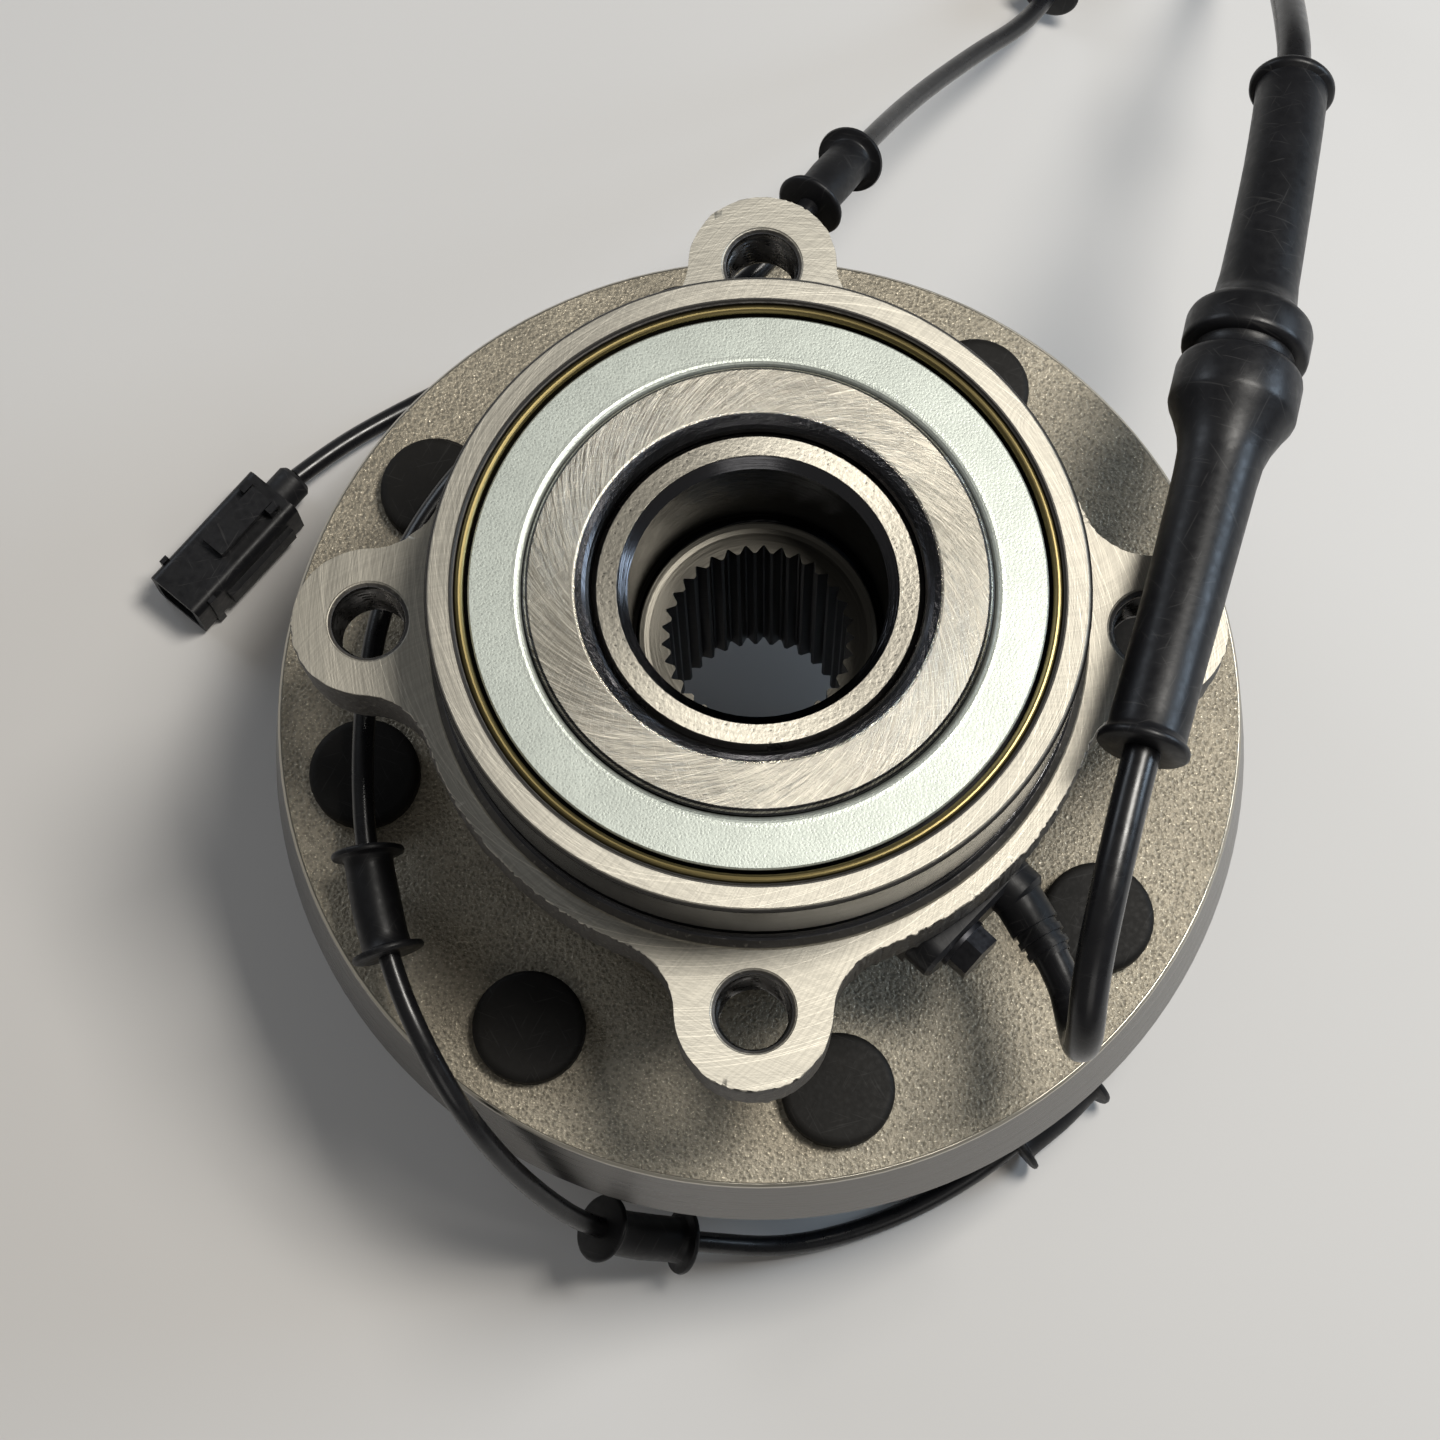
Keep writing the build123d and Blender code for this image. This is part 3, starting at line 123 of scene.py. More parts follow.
# outlines of the soft pieces: radius, and place along the cord
BOOT_PROFILE = [
    (3.7, 0.0), (8.2, 0.0), (8.7, 0.4), (8.75, 1.2), (8.4, 1.8), (7.7, 2.2), (7.5, 3.2),
    (7.5, 20.0), (7.7, 40.0), (8.0, 56.0), (8.3, 61.0), (9.2, 64.5), (11.0, 68.6), (12.1, 70.6),
    (12.4, 71.6), (12.4, 78.6), (12.2, 79.5), (11.8, 80.0), (9.8, 80.3), (9.6, 80.8), (9.6, 83.2),
    (9.9, 83.7), (11.9, 84.0), (12.3, 84.5), (12.4, 85.4), (12.4, 90.2), (12.1, 91.2), (10.6, 92.8),
    (9.0, 94.6), (8.2, 97.0), (7.8, 102.0), (7.5, 116.0), (7.3, 130.0), (7.3, 150.0), (7.4, 151.2),
    (8.3, 151.5), (8.7, 152.0), (8.7, 152.9), (8.2, 153.6), (5.4, 153.9), (3.7, 153.4),
]
GROMMET_PROFILE = [
    (2.4, 0.0), (6.6, 0.0), (7.2, 0.25), (7.4, 0.7), (7.2, 1.25), (6.3, 1.5), (5.3, 1.6),
    (4.95, 2.0), (4.9, 4.0), (5.05, 11.0), (4.9, 18.0), (4.95, 20.0), (5.3, 20.4), (6.3, 20.5),
    (7.2, 20.75), (7.4, 21.3), (7.2, 21.75), (6.6, 22.0), (2.4, 22.0),
]
SPLICE_PROFILE = [
    (3.6, 0.0), (4.1, 0.1), (4.6, 0.6), (4.7, 1.4), (4.7, 7.0), (4.4, 8.6), (3.8, 11.6),
    (3.4, 13.6), (3.1, 14.0), (2.4, 14.0),
]
SPLICE_OVERLAP = 7.0

# zones of the finishes: inner and outer radius, low and high end, softness
ZONES = {
    # painted highlight: the top edge of the flange's rim, in a lighter machined colour
    "flange lip highlight": (99.2, 100.6, 68.6, 70.1, 0.1),
    "flange face": (55, 99.3, 69.0, 70.2, 0.2),
    "spindle end": (25.9, 29.7, 145.2, 146, 0.2),
    "bore": (0, 24.2, 26, 143.8, 0.2),
    "bore mouth": (23.8, 26.1, 143.2, 145.6, 0.2),
    "splines": (0, 19.5, 26, 115.9, 0.2),
    "spline shoulder": (17.0, 23.0, 115.8, 117.4, 0.2),
    "pilot": (59, 61.5, 123.6, 147.2, 0.2),
    "end face": (55.0, 60.6, 147.4, 148.2, 0.2),
    "mount face": (61.3, 120, 123.1, 123.9, 0.2),
    # painted shade: dark lines on the chamfers at the end face's inner and outer edges
    "end inner edge shade": (55, 56.6, 146, 148.2, 0.1),
    "end outer edge shade": (60.5, 61.3, 146.9, 148, 0.1),
    "ring corner": (29, 33.8, 140, 149, 0.5),
    # painted highlight: a thin light line at the corner's outer edge
    "ring corner highlight line": (33.5, 33.9, 140, 149, 0.1),
    "ring chamfer": (42.15, 44, 140, 149, 0.2),
    # painted highlight: a thin light ring across the chamfer
    "ring chamfer highlight line": (42.6, 42.9, 140, 149, 0.08),
    # painted highlight, with a real lower roughness: the slinger's rolled inner rim
    "zinc rim highlight": (44.0, 45.4, 140, 149, 0.1),
}

# scratches of the inner rings: sweep, count, length, sparseness
SWIRLS = ((1.5, 190.0, 130.0, 0.53), (-0.9, 150.0, 160.0, 0.58), (2.4, 230.0, 220.0, 0.56))

# small metal pieces: nodes, name of the finish, colour, roughness
SMALL_METALS = (
    (("inboard_rollers", "outboard_rollers"), "roller steel", (0.62, 0.61, 0.58), 0.2),
    (("inboard_cage", "outboard_cage"), "pressed cage", (0.42, 0.40, 0.36), 0.38),
    (("tone_ring",), "sintered tone ring", (0.30, 0.29, 0.28), 0.5),
    (("connector_pins",), "tinned pin", (0.72, 0.71, 0.68), 0.3),
    (("sensor_bolt",), "blackened bolt", (0.05, 0.05, 0.055), 0.4),
)

# black finishes: roughness, size and depth of the grain in metres, dust, coat, gloss
BLACKS = {
    "seal rubber": (0.5, 0.0008, 0.00005, 0.12, 0.0, 0.3),
    "seal sleeve rubber": (0.5, 0.0009, 0.00006, 0.12, 0.0, 0.3),
    "boot rubber": (0.36, 0.0014, 0.00007, 0.10, 0.0, 0.3),
    "grommet rubber": (0.42, 0.0011, 0.00006, 0.08, 0.0, 0.3),
    "cord jacket": (0.27, 0.0016, 0.00006, 0.04, 0.3, 0.3),
    "sensor plastic": (0.4, 0.0012, 0.00006, 0.12, 0.0, 0.3),
    "connector plastic": (0.38, 0.0012, 0.00005, 0.12, 0.0, 0.3),
    "stud phosphate": (0.55, 0.0007, 0.00006, 0.06, 0.0, 0.14),
}
TAPPED_STEEL = (0.17, 0.165, 0.16)
PHOSPHATE = (0.0085, 0.0078, 0.0070)
DUST = (0.16, 0.155, 0.15)

# stage, in metres: each light has its place, size, share of the key light's power, and colour
FLOOR_SIZE = 12.0
FLOOR_BOUNCE = 0.35
LIGHT_TARGET = (0, 0, 0.1)
LIGHTS = {
    "key": ((0.40, 0.15, 1.08), 0.32, 1.0, (1.0, 0.965, 0.90)),
    "window": ((0.95, 0.22, 0.52), 0.36, 0.42, (0.66, 0.82, 1.0)),
    "side": ((-0.78, 0.62, 0.62), 0.45, 0.20, (0.82, 0.90, 1.0)),
    "front": ((0.10, -1.0, 0.75), 0.60, 0.10, (1.0, 0.97, 0.92)),
}
WORLD_COLOUR = (1.0, 0.985, 0.96, 1)
CAMERA_PLACE = (0.002958, -0.17108, 0.662)
CAMERA_RIGHT = (0.99979018, 0.01468023, -0.0142858)
CAMERA_UP = (-0.01024124, 0.96222554, 0.2720609)
CAMERA_BACK = (0.01774007, -0.27185751, 0.96217399)


# ---- settings --------------------------------------------
class HubFinishSettings(bpy.types.PropertyGroup):
    """Colours of the metals and of the black parts."""

    blasted_steel: bpy.props.FloatVectorProperty(
        name="Blasted steel", description="Shot-blasted wheel flange", subtype="COLOR",
        size=3, min=0, max=1, default=(0.27, 0.24, 0.185))
    machined_steel: bpy.props.FloatVectorProperty(
        name="Machined steel", description="Turned and milled faces", subtype="COLOR",
        size=3, min=0, max=1, default=(0.66, 0.62, 0.53))
    polished_steel: bpy.props.FloatVectorProperty(
        name="Polished steel", description="Ground walls and chamfers", subtype="COLOR",
        size=3, min=0, max=1, default=(0.22, 0.22, 0.235))
    zinc: bpy.props.FloatVectorProperty(
        name="Zinc", description="Plated seal ring", subtype="COLOR",
        size=3, min=0, max=1, default=(0.44, 0.47, 0.43))
    gold: bpy.props.FloatVectorProperty(
        name="Yellow plate", description="Rolled rim of the seal case", subtype="COLOR",
        size=3, min=0, max=1, default=(0.20, 0.16, 0.07))
    rubber: bpy.props.FloatVectorProperty(
        name="Black rubber", description="Boots, grommets and cords", subtype="COLOR",
        size=3, min=0, max=1, default=(0.006, 0.006, 0.007))
    # Dark forged skin, and also painted shade: the flange's turned rim, the splines and the dark lines
    # at the end face's edges, which are not wear.
    dark_steel_and_shade: bpy.props.FloatVectorProperty(
        name="Dark steel", description="Forged sides, rims and worn edges", subtype="COLOR",
        size=3, min=0, max=1, default=(0.075, 0.070, 0.064))


class HubCordSettings(bpy.types.PropertyGroup):
    """Thickness of the two cords."""

    sleeve_diameter: bpy.props.FloatProperty(
        name="Sleeve", description="Diameter of the sleeved cable at the sensor",
        unit="LENGTH", min=0.003, max=0.012, default=0.007)
    lead_diameter: bpy.props.FloatProperty(
        name="Lead", description="Diameter of the thin lead to the connector",
        unit="LENGTH", min=0.002, max=0.008, default=0.0045)


class HubStageSettings(bpy.types.PropertyGroup):
    """Floor, lights and camera."""

    floor_colour: bpy.props.FloatVectorProperty(
        name="Floor", description="Colour of the plain floor", subtype="COLOR",
        size=3, min=0, max=1, default=(0.60, 0.585, 0.57))
    key_power: bpy.props.FloatProperty(
        name="Key light", description="Power of the large soft light", unit="POWER",
        min=0, max=100, default=11.0)
    world_level: bpy.props.FloatProperty(
        name="Surroundings", description="Brightness of the surroundings",
        min=0, max=2, default=0.12)
    lens: bpy.props.FloatProperty(
        name="Lens", description="Focal length of the camera in millimetres",
        min=20, max=200, default=74.2)


# ---- shader helpers --------------------------------------
class Net:
    """Adds nodes to a shader tree. A value that is fed in is a number, a colour or a socket.

    Its place is the socket of the coordinates that patterns read.
    """

    def __init__(self, tree):
        self.tree = tree
        self.place = None

    def add(self, kind, **settings):
        node = self.tree.nodes.new(kind)
        for name, value in settings.items():
            setattr(node, name, value)
        return node

    def feed(self, socket, value):
        if isinstance(value, bpy.types.NodeSocket):
            self.tree.links.new(value, socket)
        elif value is not None:
            socket.default_value = value

    def fill(self, node, **values):
        """Feeds a node's inputs, named with underscores for spaces."""
        for name, value in values.items():
            self.feed(node.inputs[name.replace("_", " ")], value)

    def feed_all(self, node, *values):
        """Feeds a node's inputs in order, and gives its first output."""
        for socket, value in zip(node.inputs, values):
            self.feed(socket, value)
        return node.outputs[0]

    def math(self, operation, first, second=None, clamp=False):
        node = self.add("ShaderNodeMath", operation=operation, use_clamp=clamp)
        return self.feed_all(node, first, second)

    def plus(self, first, second):
        return self.math("ADD", first, second)

    def minus(self, first, second):
        return self.math("SUBTRACT", first, second)

    def times(self, first, second):
        return self.math("MULTIPLY", first, second)

    def most(self, first, second):
        return self.math("MAXIMUM", first, second)

    def length(self, x, y):
        return self.math("SQRT", self.plus(self.times(x, x), self.times(y, y)))

    def vector(self, x, y, z):
        return self.feed_all(self.add("ShaderNodeCombineXYZ"), x, y, z)

    def split(self, vector):
        node = self.add("ShaderNodeSeparateXYZ")
        self.feed(node.inputs[0], vector)
        return node.outputs

    def noise(self, vector, scale, detail, roughness=0.5):
        node = self.add("ShaderNodeTexNoise")
        self.fill(node, Vector=vector, Scale=scale, Detail=detail, Roughness=roughness)
        return node.outputs["Fac"]

    def ramp(self, value, low, high, to_low=0.0, to_high=1.0, smooth=True):
        """Maps a range of values to another one, held at its ends."""
        node = self.add("ShaderNodeMapRange", clamp=True)
        node.interpolation_type = "SMOOTHSTEP" if smooth else "LINEAR"
        return self.feed_all(node, value, low, high, to_low, to_high)

    def between(self, kind, low, high, share, first, second):
        """Outputs of a mix node whose two ends are the inputs numbered low and high."""
        node = self.add("ShaderNodeMix", data_type=kind)
        for socket, value in (("Factor", share), (low, first), (high, second)):
            self.feed(node.inputs[socket], value)
        return node.outputs

    def mix(self, share, first, second):
        """A colour between two."""
        return self.between("RGBA", 6, 7, share, first, second)[2]

    def blend(self, share, first, second):
        """A number between two."""
        return self.between("FLOAT", 2, 3, share, first, second)[0]

    def use(self, group, **values):
        """Places a shared group at the material's coordinates."""
        node = self.add("ShaderNodeGroup")
        node.node_tree = bpy.data.node_groups[group]
        self.fill(node, Vector=self.place, **values)
        return node.outputs

    def zone(self, name):
        """Mask of one of the named zones."""
        inner, outer, low, high, soft = (limit * MM for limit in ZONES[name])
        return self.use("zone", Inner=inner, Outer=outer, Low=low, High=high, Soft=soft)["Mask"]


def rgba(colour, factor=1.0):
    """A colour with its alpha, made lighter or darker by a factor."""
    return (colour[0] * factor, colour[1] * factor, colour[2] * factor, 1.0)


def new_group(name, outputs, **sizes):
    """An empty shader group that reads a vector and named sizes: its net, inputs and outputs."""
    tree = bpy.data.node_groups.new(name, "ShaderNodeTree")
    tree.interface.new_socket(name="Vector", in_out="INPUT", socket_type="NodeSocketVector")
    for socket, value in sizes.items():
        made = tree.interface.new_socket(name=socket, in_out="INPUT", socket_type="NodeSocketFloat")
        made.default_value = value
    for socket in outputs:
        tree.interface.new_socket(name=socket, in_out="OUTPUT", socket_type="NodeSocketFloat")
    net = Net(tree)
    given = net.add("NodeGroupInput").outputs
    net.place = given["Vector"]
    return net, given, net.add("NodeGroupOutput").inputs


def polar(net):
    """Radius, unit direction and height about the hub's axis."""
    x, y, z = net.split(net.place)
    radius = net.length(x, y)
    safe = net.most(radius, 1e-5)
    return radius, net.math("DIVIDE", x, safe), net.math("DIVIDE", y, safe), z


def make_zone_group():
    """Mask of a ring-shaped zone between two radii and two heights."""
    net, given, result = new_group(
        "zone", ["Mask"], Inner=0.0, Outer=1.0, Low=0.0, High=1.0, Soft=0.0002)
    radius, _, _, height = polar(net)

    def inside(value, low, high):
        over = net.math("DIVIDE", net.minus(value, low), given["Soft"])
        under = net.math("DIVIDE", net.minus(high, value), given["Soft"])
        return net.times(net.math("ADD", over, 0.5, clamp=True),
                         net.math("ADD", under, 0.5, clamp=True))

    between_radii = inside(radius, given["Inner"], given["Outer"])
    net.feed(result["Mask"], net.times(between_radii, inside(height, given["Low"], given["High"])))


def make_turned_group():
    """Fine rings that a cutting tool leaves on a turned face or wall."""
    net, given, result = new_group("turned_marks", ["Marks"], Pitch=0.0004, Waver=2.0)
    radius, east, north, height = polar(net)
    across = net.math("DIVIDE", net.plus(radius, height), given["Pitch"])
    around = net.vector(across, net.times(east, given["Waver"]), net.times(north, given["Waver"]))
    fine = net.noise(around, 1.0, 3.0, 0.65)
    net.feed(result["Marks"], net.ramp(fine, 0.32, 0.68, smooth=False))


def make_arc_group():
    """Sparse curved scratches that sweep across a face."""
    net, given, result = new_group(
        "arc_scratches", ["Mask"], Sweep=8.0, Count=40.0, Length=60.0, Sparse=0.6)
    radius, east, north, _ = polar(net)
    turn = net.times(net.math("LOGARITHM", net.most(radius, 1e-4), math.e), given["Sweep"])
    sine, cosine = net.math("SINE", turn), net.math("COSINE", turn)
    first = net.minus(net.times(east, cosine), net.times(north, sine))
    second = net.plus(net.times(east, sine), net.times(north, cosine))
    place = net.vector(net.times(first, given["Count"]), net.times(second, given["Count"]),
                       net.times(radius, given["Length"]))
    lines = net.noise(place, 1.0, 2.0, 0.6)
    edge = net.plus(given["Sparse"], 0.05)
    net.feed(result["Mask"], net.ramp(lines, given["Sparse"], edge))


def make_grain_group():
    """Pitted grain of a blasted or forged skin: height, light specks and broad tone."""
    net, given, result = new_group("grain", ["Height", "Specks", "Tone"], Size=0.0008)
    rate = net.math("DIVIDE", 1.0, given["Size"])
    fine = net.noise(net.place, rate, 3.0, 0.6)
    wide = net.noise(net.place, net.times(rate, 0.035), 3.0, 0.6)
    cells = net.add("ShaderNodeTexVoronoi", feature="F1")
    net.fill(cells, Vector=net.place, Scale=net.times(rate, 0.55))
    pits = net.ramp(cells.outputs["Distance"], 0.05, 0.7, smooth=False)
    net.feed(result["Height"], net.plus(net.times(fine, 0.7), net.times(pits, 0.3)))
    net.feed(result["Specks"], net.ramp(fine, 0.58, 0.74))
    net.feed(result["Tone"], net.ramp(wide, 0.3, 0.7))


def make_scuff_group():
    """Straight short scuffs in all directions, as from handling."""
    net, given, result = new_group("scuffs", ["Mask"], Scale=60.0, Sparse=0.66)
    masks = []
    for degrees in (15, 62, 118, 160):
        cosine, sine = math.cos(math.radians(degrees)), math.sin(math.radians(degrees))
        x, y, z = net.split(net.place)
        along = net.plus(net.times(x, cosine), net.times(y, sine))
        across = net.minus(net.times(y, cosine), net.times(x, sine))
        place = net.vector(along, net.times(across, 22.0), net.plus(z, degrees))
        lines = net.noise(place, given["Scale"], 2.0, 0.5)
        masks.append(net.ramp(lines, given["Sparse"], net.plus(given["Sparse"], 0.05)))
    most = masks[0]
    for mask in masks[1:]:
        most = net.most(most, mask)
    net.feed(result["Mask"], most)


def make_milled_group():
    """Crossing arcs that a face cutter leaves, centred off the part's axis."""
    net, given, result = new_group("milled_marks", ["Marks"], Pitch=0.0004, Offset=0.05)
    x, y, _ = net.split(net.place)
    heights = []
    for side in (1, -1):
        east = net.minus(x, net.times(given["Offset"], side))
        north = net.minus(y, net.times(given["Offset"], side * 0.6))
        away = net.length(east, north)
        across = net.math("DIVIDE", away, given["Pitch"])
        along = net.vector(across, net.times(x, 24.0), net.times(y, 24.0))
        heights.append(net.noise(along, 1.0, 2.0, 0.6))
    both = net.times(net.plus(heights[0], heights[1]), 0.5)
    net.feed(result["Marks"], net.ramp(both, 0.40, 0.60, smooth=False))


def make_groups():
    """Builds each shared group once."""
    make_zone_group()
    make_milled_group()
    make_turned_group()
    make_arc_group()
    make_grain_group()
    make_scuff_group()


def new_finish(name):
    """A material with its net, which reads the object coordinates, and its shader."""
    material = bpy.data.materials.new(name)
    material.use_nodes = True
    net = Net(material.node_tree)
    shader = next(node for node in material.node_tree.nodes if node.type == "BSDF_PRINCIPLED")
    net.place = net.add("ShaderNodeTexCoord").outputs["Object"]
    return material, net, shader


def bump(net, shader, height, distance, strength):
    """Feeds a height into the shader's normal."""
    node = net.add("ShaderNodeBump")
    net.fill(node, Strength=strength, Distance=distance, Height=height)
    net.fill(shader, Normal=node.outputs["Normal"])


def brushed_round(net, shader, amount):
    """Stretches the gloss across the rings of a turned part."""
    tangent = net.add("ShaderNodeTangent", direction_type="RADIAL", axis="Z")
    net.fill(shader, Anisotropic=amount, Tangent=tangent.outputs[0])


# ---- finishes --------------------------------------------
def hub_finish(colours):
    """Forged hub: blasted flange, turned spindle end, turned rim painted dark as shade with a painted
    highlight on its top edge, and bore and splines painted dark as shade.
    """
    material, net, shader = new_finish("hub steel")
    skin, steel = colours.blasted_steel, colours.machined_steel
    polish, rim = colours.polished_steel, colours.dark_steel_and_shade
    grain = net.use("grain", Size=0.00056)
    turned = net.use("turned_marks", Pitch=0.0005, Waver=1.5)["Marks"]
    shade = net.mix(grain["Tone"], rgba(skin, 1.05), rgba(skin, 1.35))
    blasted = net.mix(net.ramp(grain["Height"], 0.34, 0.66), rgba(skin, 0.72), shade)
    blasted = net.mix(grain["Specks"], blasted, rgba(skin, 3.0))
    # Painted shade: the flange's turned rim gets the dark steel colour so that this side wall reads
    # dark; its turned marks are real.
    rim_marks_and_shade = net.mix(turned, rgba(rim, 1.1), rgba(rim, 1.7))
    # Painted highlight: the rim's top edge is painted in a lighter machined colour, as a line of
    # light.
    lip = net.zone("flange lip highlight")
    rim_marks_and_shade = net.mix(lip, rim_marks_and_shade, rgba(steel, 0.7))
    face = net.zone("flange face")
    colour = net.mix(face, rim_marks_and_shade, blasted)
    end_grain = net.times(net.plus(turned, grain["Height"]), 0.5)
    turned_face = net.mix(end_grain, rgba(steel, 0.42), rgba(steel, 0.72))
    pits = net.ramp(grain["Height"], 0.30, 0.42, 0.8, 0.0)
    turned_face = net.mix(pits, turned_face, rgba(rim))
    spindle_end = net.zone("spindle end")
    colour = net.mix(spindle_end, colour, turned_face)
    # Painted shade: the bore, its splines and the spline shoulder are painted far darker than their
    # steel, as the shade inside the bore.
    bore = net.zone("bore")
    dark = net.mix(turned, rgba(polish, 0.07), rgba(polish, 0.14))
    splines = net.zone("splines")
    dark = net.mix(splines, dark, rgba(rim, 0.25))
    colour = net.mix(bore, colour, dark)
    mouth = net.zone("bore mouth")
    colour = net.mix(mouth, colour, rgba(polish, 0.5))
    shoulder = net.zone("spline shoulder")
    colour = net.mix(shoulder, colour, rgba(steel, 0.17))
    net.fill(shader, Base_Color=colour, Metallic=net.blend(face, 1.0, 0.6))
    turned_rough = net.ramp(turned, 0, 1, 0.24, 0.36, smooth=False)
    rough = net.blend(face, turned_rough, net.blend(grain["Specks"], 0.50, 0.26))
    rough = net.blend(net.most(mouth, bore), rough, net.blend(splines, 0.16, 0.36))
    net.fill(shader, Roughness=net.blend(net.most(shoulder, spindle_end), rough, 0.42))
    fine = net.times(turned, 0.05)
    fine = net.blend(spindle_end, fine, net.times(grain["Height"], 0.15))
    bump(net, shader, net.blend(face, fine, grain["Height"]), 0.0004, 0.9)
    brushed_round(net, shader, 0.5)
    return material


def ear_distance(net):
    """Distance from the nearest ear's hole axis."""
    x, y, _ = net.split(net.place)
    east, north = net.math("ABSOLUTE", x), net.math("ABSOLUTE", y)
    far = net.minus(net.most(east, north), EAR_PITCH_RADIUS * MM)
    near = net.math("MINIMUM", east, north)
    return net.length(far, near)


def outer_ring_finish(colours):
    """Outer ring: milled mounting face and end face, ground pilot, forged skin elsewhere; painted
    shade on the pilot wall, in the ear holes and along the end face's edges.
    """
    material, net, shader = new_finish("outer ring steel")
    steel, polish, skin = colours.machined_steel, colours.polished_steel, colours.dark_steel_and_shade
    grain = net.use("grain", Size=0.0011)
    turned = net.use("turned_marks", Pitch=0.00035, Waver=2.0)["Marks"]
    arcs = net.use("arc_scratches", Sweep=5.0, Count=70.0, Length=40.0, Sparse=0.60)["Mask"]
    scuffs = net.use("scuffs", Scale=45.0, Sparse=0.66)["Mask"]
    forged = net.mix(grain["Tone"], rgba(skin, 0.7), rgba(skin, 1.5))
    forged = net.mix(net.times(grain["Specks"], 0.6), forged, rgba(steel, 0.45))
    pilot = net.zone("pilot")
    # Painted shade: the ground pilot wall is painted dark, standing in for the dark surroundings that
    # it reflects; its turned marks are real.
    walls = net.mix(turned, rgba(polish, 0.22), rgba(polish, 0.62))
    colour = net.mix(pilot, forged, walls)
    milled = net.mix(turned, rgba(steel, 0.55), rgba(steel, 0.82))
    cut = net.use("milled_marks", Pitch=0.0005, Offset=0.052)["Marks"]
    milled = net.mix(net.times(cut, 0.5), milled, rgba(steel, 0.46))
    milled = net.mix(net.times(arcs, 0.5), milled, rgba(steel, 1.25))
    milled = net.mix(net.times(scuffs, 0.22), milled, rgba(steel, 0.6))
    faces = net.most(net.zone("end face"), net.zone("mount face"))
    colour = net.mix(faces, colour, milled)
    # Painted shade: the walls of the ear holes are painted darker, fading out at the holes' edges.
    wall, face = EAR_HOLE_SHADE_EDGE
    hole = net.ramp(ear_distance(net), wall * MM, face * MM, 1.0, 0.0)
    colour = net.mix(hole, colour, rgba(polish, 0.5))
    # Painted shade: the chamfers at the end face's inner and outer edges are painted as dark lines.
    edges = net.most(net.zone("end inner edge shade"), net.zone("end outer edge shade"))
    colour = net.mix(edges, colour, rgba(skin, 0.6))
    net.fill(shader, Base_Color=colour)
    machined = net.most(faces, pilot)
    net.fill(shader, Metallic=net.blend(machined, 0.6, net.blend(faces, 0.95, 0.75)))
    plain_rough = net.blend(pilot, 0.6, 0.2)
    rough = net.blend(faces, plain_rough, net.ramp(turned, 0, 1, 0.44, 0.58, smooth=False))
    net.fill(shader, Roughness=rough)
    marks = net.times(net.plus(turned, cut), 0.04)
    bump(net, shader, net.blend(machined, grain["Height"], marks), 0.0004, 0.7)
    brushed_round(net, shader, 0.35)
    return material


def ground_ring_finish(colours):
    """Inner rings: ground face with swirling scratches and polished corners, and painted highlight
    lines on the corner and the chamfer.
    """
    material, net, shader = new_finish("ground ring steel")
    first, second, third = (
        net.use("arc_scratches", Sweep=sweep, Count=count, Length=length, Sparse=sparse)["Mask"]
        for sweep, count, length, sparse in SWIRLS)
    tone = net.use("grain", Size=0.0005)["Tone"]
    steel = colours.machined_steel
    base = net.mix(tone, rgba(steel, 0.54), rgba(steel, 0.66))
    base = net.mix(net.times(first, 0.5), base, rgba(steel, 1.05))
    base = net.mix(net.times(third, 0.42), base, rgba(steel, 0.34))
    base = net.mix(net.times(second, 0.4), base, rgba(steel, 0.98))
    corner = net.zone("ring corner")
    chamfer = net.zone("ring chamfer")
    polished = net.most(corner, chamfer)
    colour = net.mix(polished, base, rgba(colours.polished_steel, 0.24))
    # Painted highlight: a thin light line at the outer edge of the polished corner.
    colour = net.mix(net.zone("ring corner highlight line"), colour, rgba(steel, 0.9))
    # Painted highlight: a thin light ring across the dark polished chamfer, so that it reads as two
    # grooves.
    colour = net.mix(net.zone("ring chamfer highlight line"), colour, rgba(steel, 0.6))
    rough = net.blend(polished, net.ramp(first, 0, 1, 0.32, 0.46), 0.16)
    net.fill(shader, Base_Color=colour, Metallic=1.0, Roughness=rough)
    bump(net, shader, net.minus(first, third), 0.00003, 0.5)
    brushed_round(net, shader, 0.4)
    return material


def zinc_finish(colours):
    """Zinc-plated slinger with an orange-peel skin, and an inner rim that is smoother and painted
    lighter as a highlight.
    """
    material, net, shader = new_finish("zinc plate")
    grain = net.use("grain", Size=0.00032)
    zinc = colours.zinc
    shade = net.mix(grain["Tone"], rgba(zinc, 0.93), rgba(zinc, 1.05))
    shade = net.mix(net.ramp(grain["Height"], 0.3, 0.55), rgba(zinc, 0.82), shade)
    colour = net.mix(net.times(grain["Specks"], 0.6), shade, rgba(zinc, 1.35))
    # Painted highlight: the rolled inner rim is painted lighter; its lower roughness is real.
    rim = net.zone("zinc rim highlight")
    colour = net.mix(rim, colour, rgba(zinc, 1.1))
    rough = net.blend(rim, net.ramp(grain["Height"], 0.2, 0.8, 0.40, 0.52), 0.36)
    net.fill(shader, Base_Color=colour, Metallic=0.75, Roughness=rough)
    bump(net, shader, grain["Height"], 0.00008, 0.6)
    return material


def plated_finish(colours):
    """Seal case: yellow plating with fine rings."""
    material, net, shader = new_finish("yellow plate")
    turned = net.use("turned_marks", Pitch=0.0003, Waver=1.0)["Marks"]
    colour = net.mix(turned, rgba(colours.gold, 0.8), rgba(colours.gold, 1.15))
    net.fill(shader, Base_Color=colour, Metallic=1.0, Roughness=0.34)
    return material


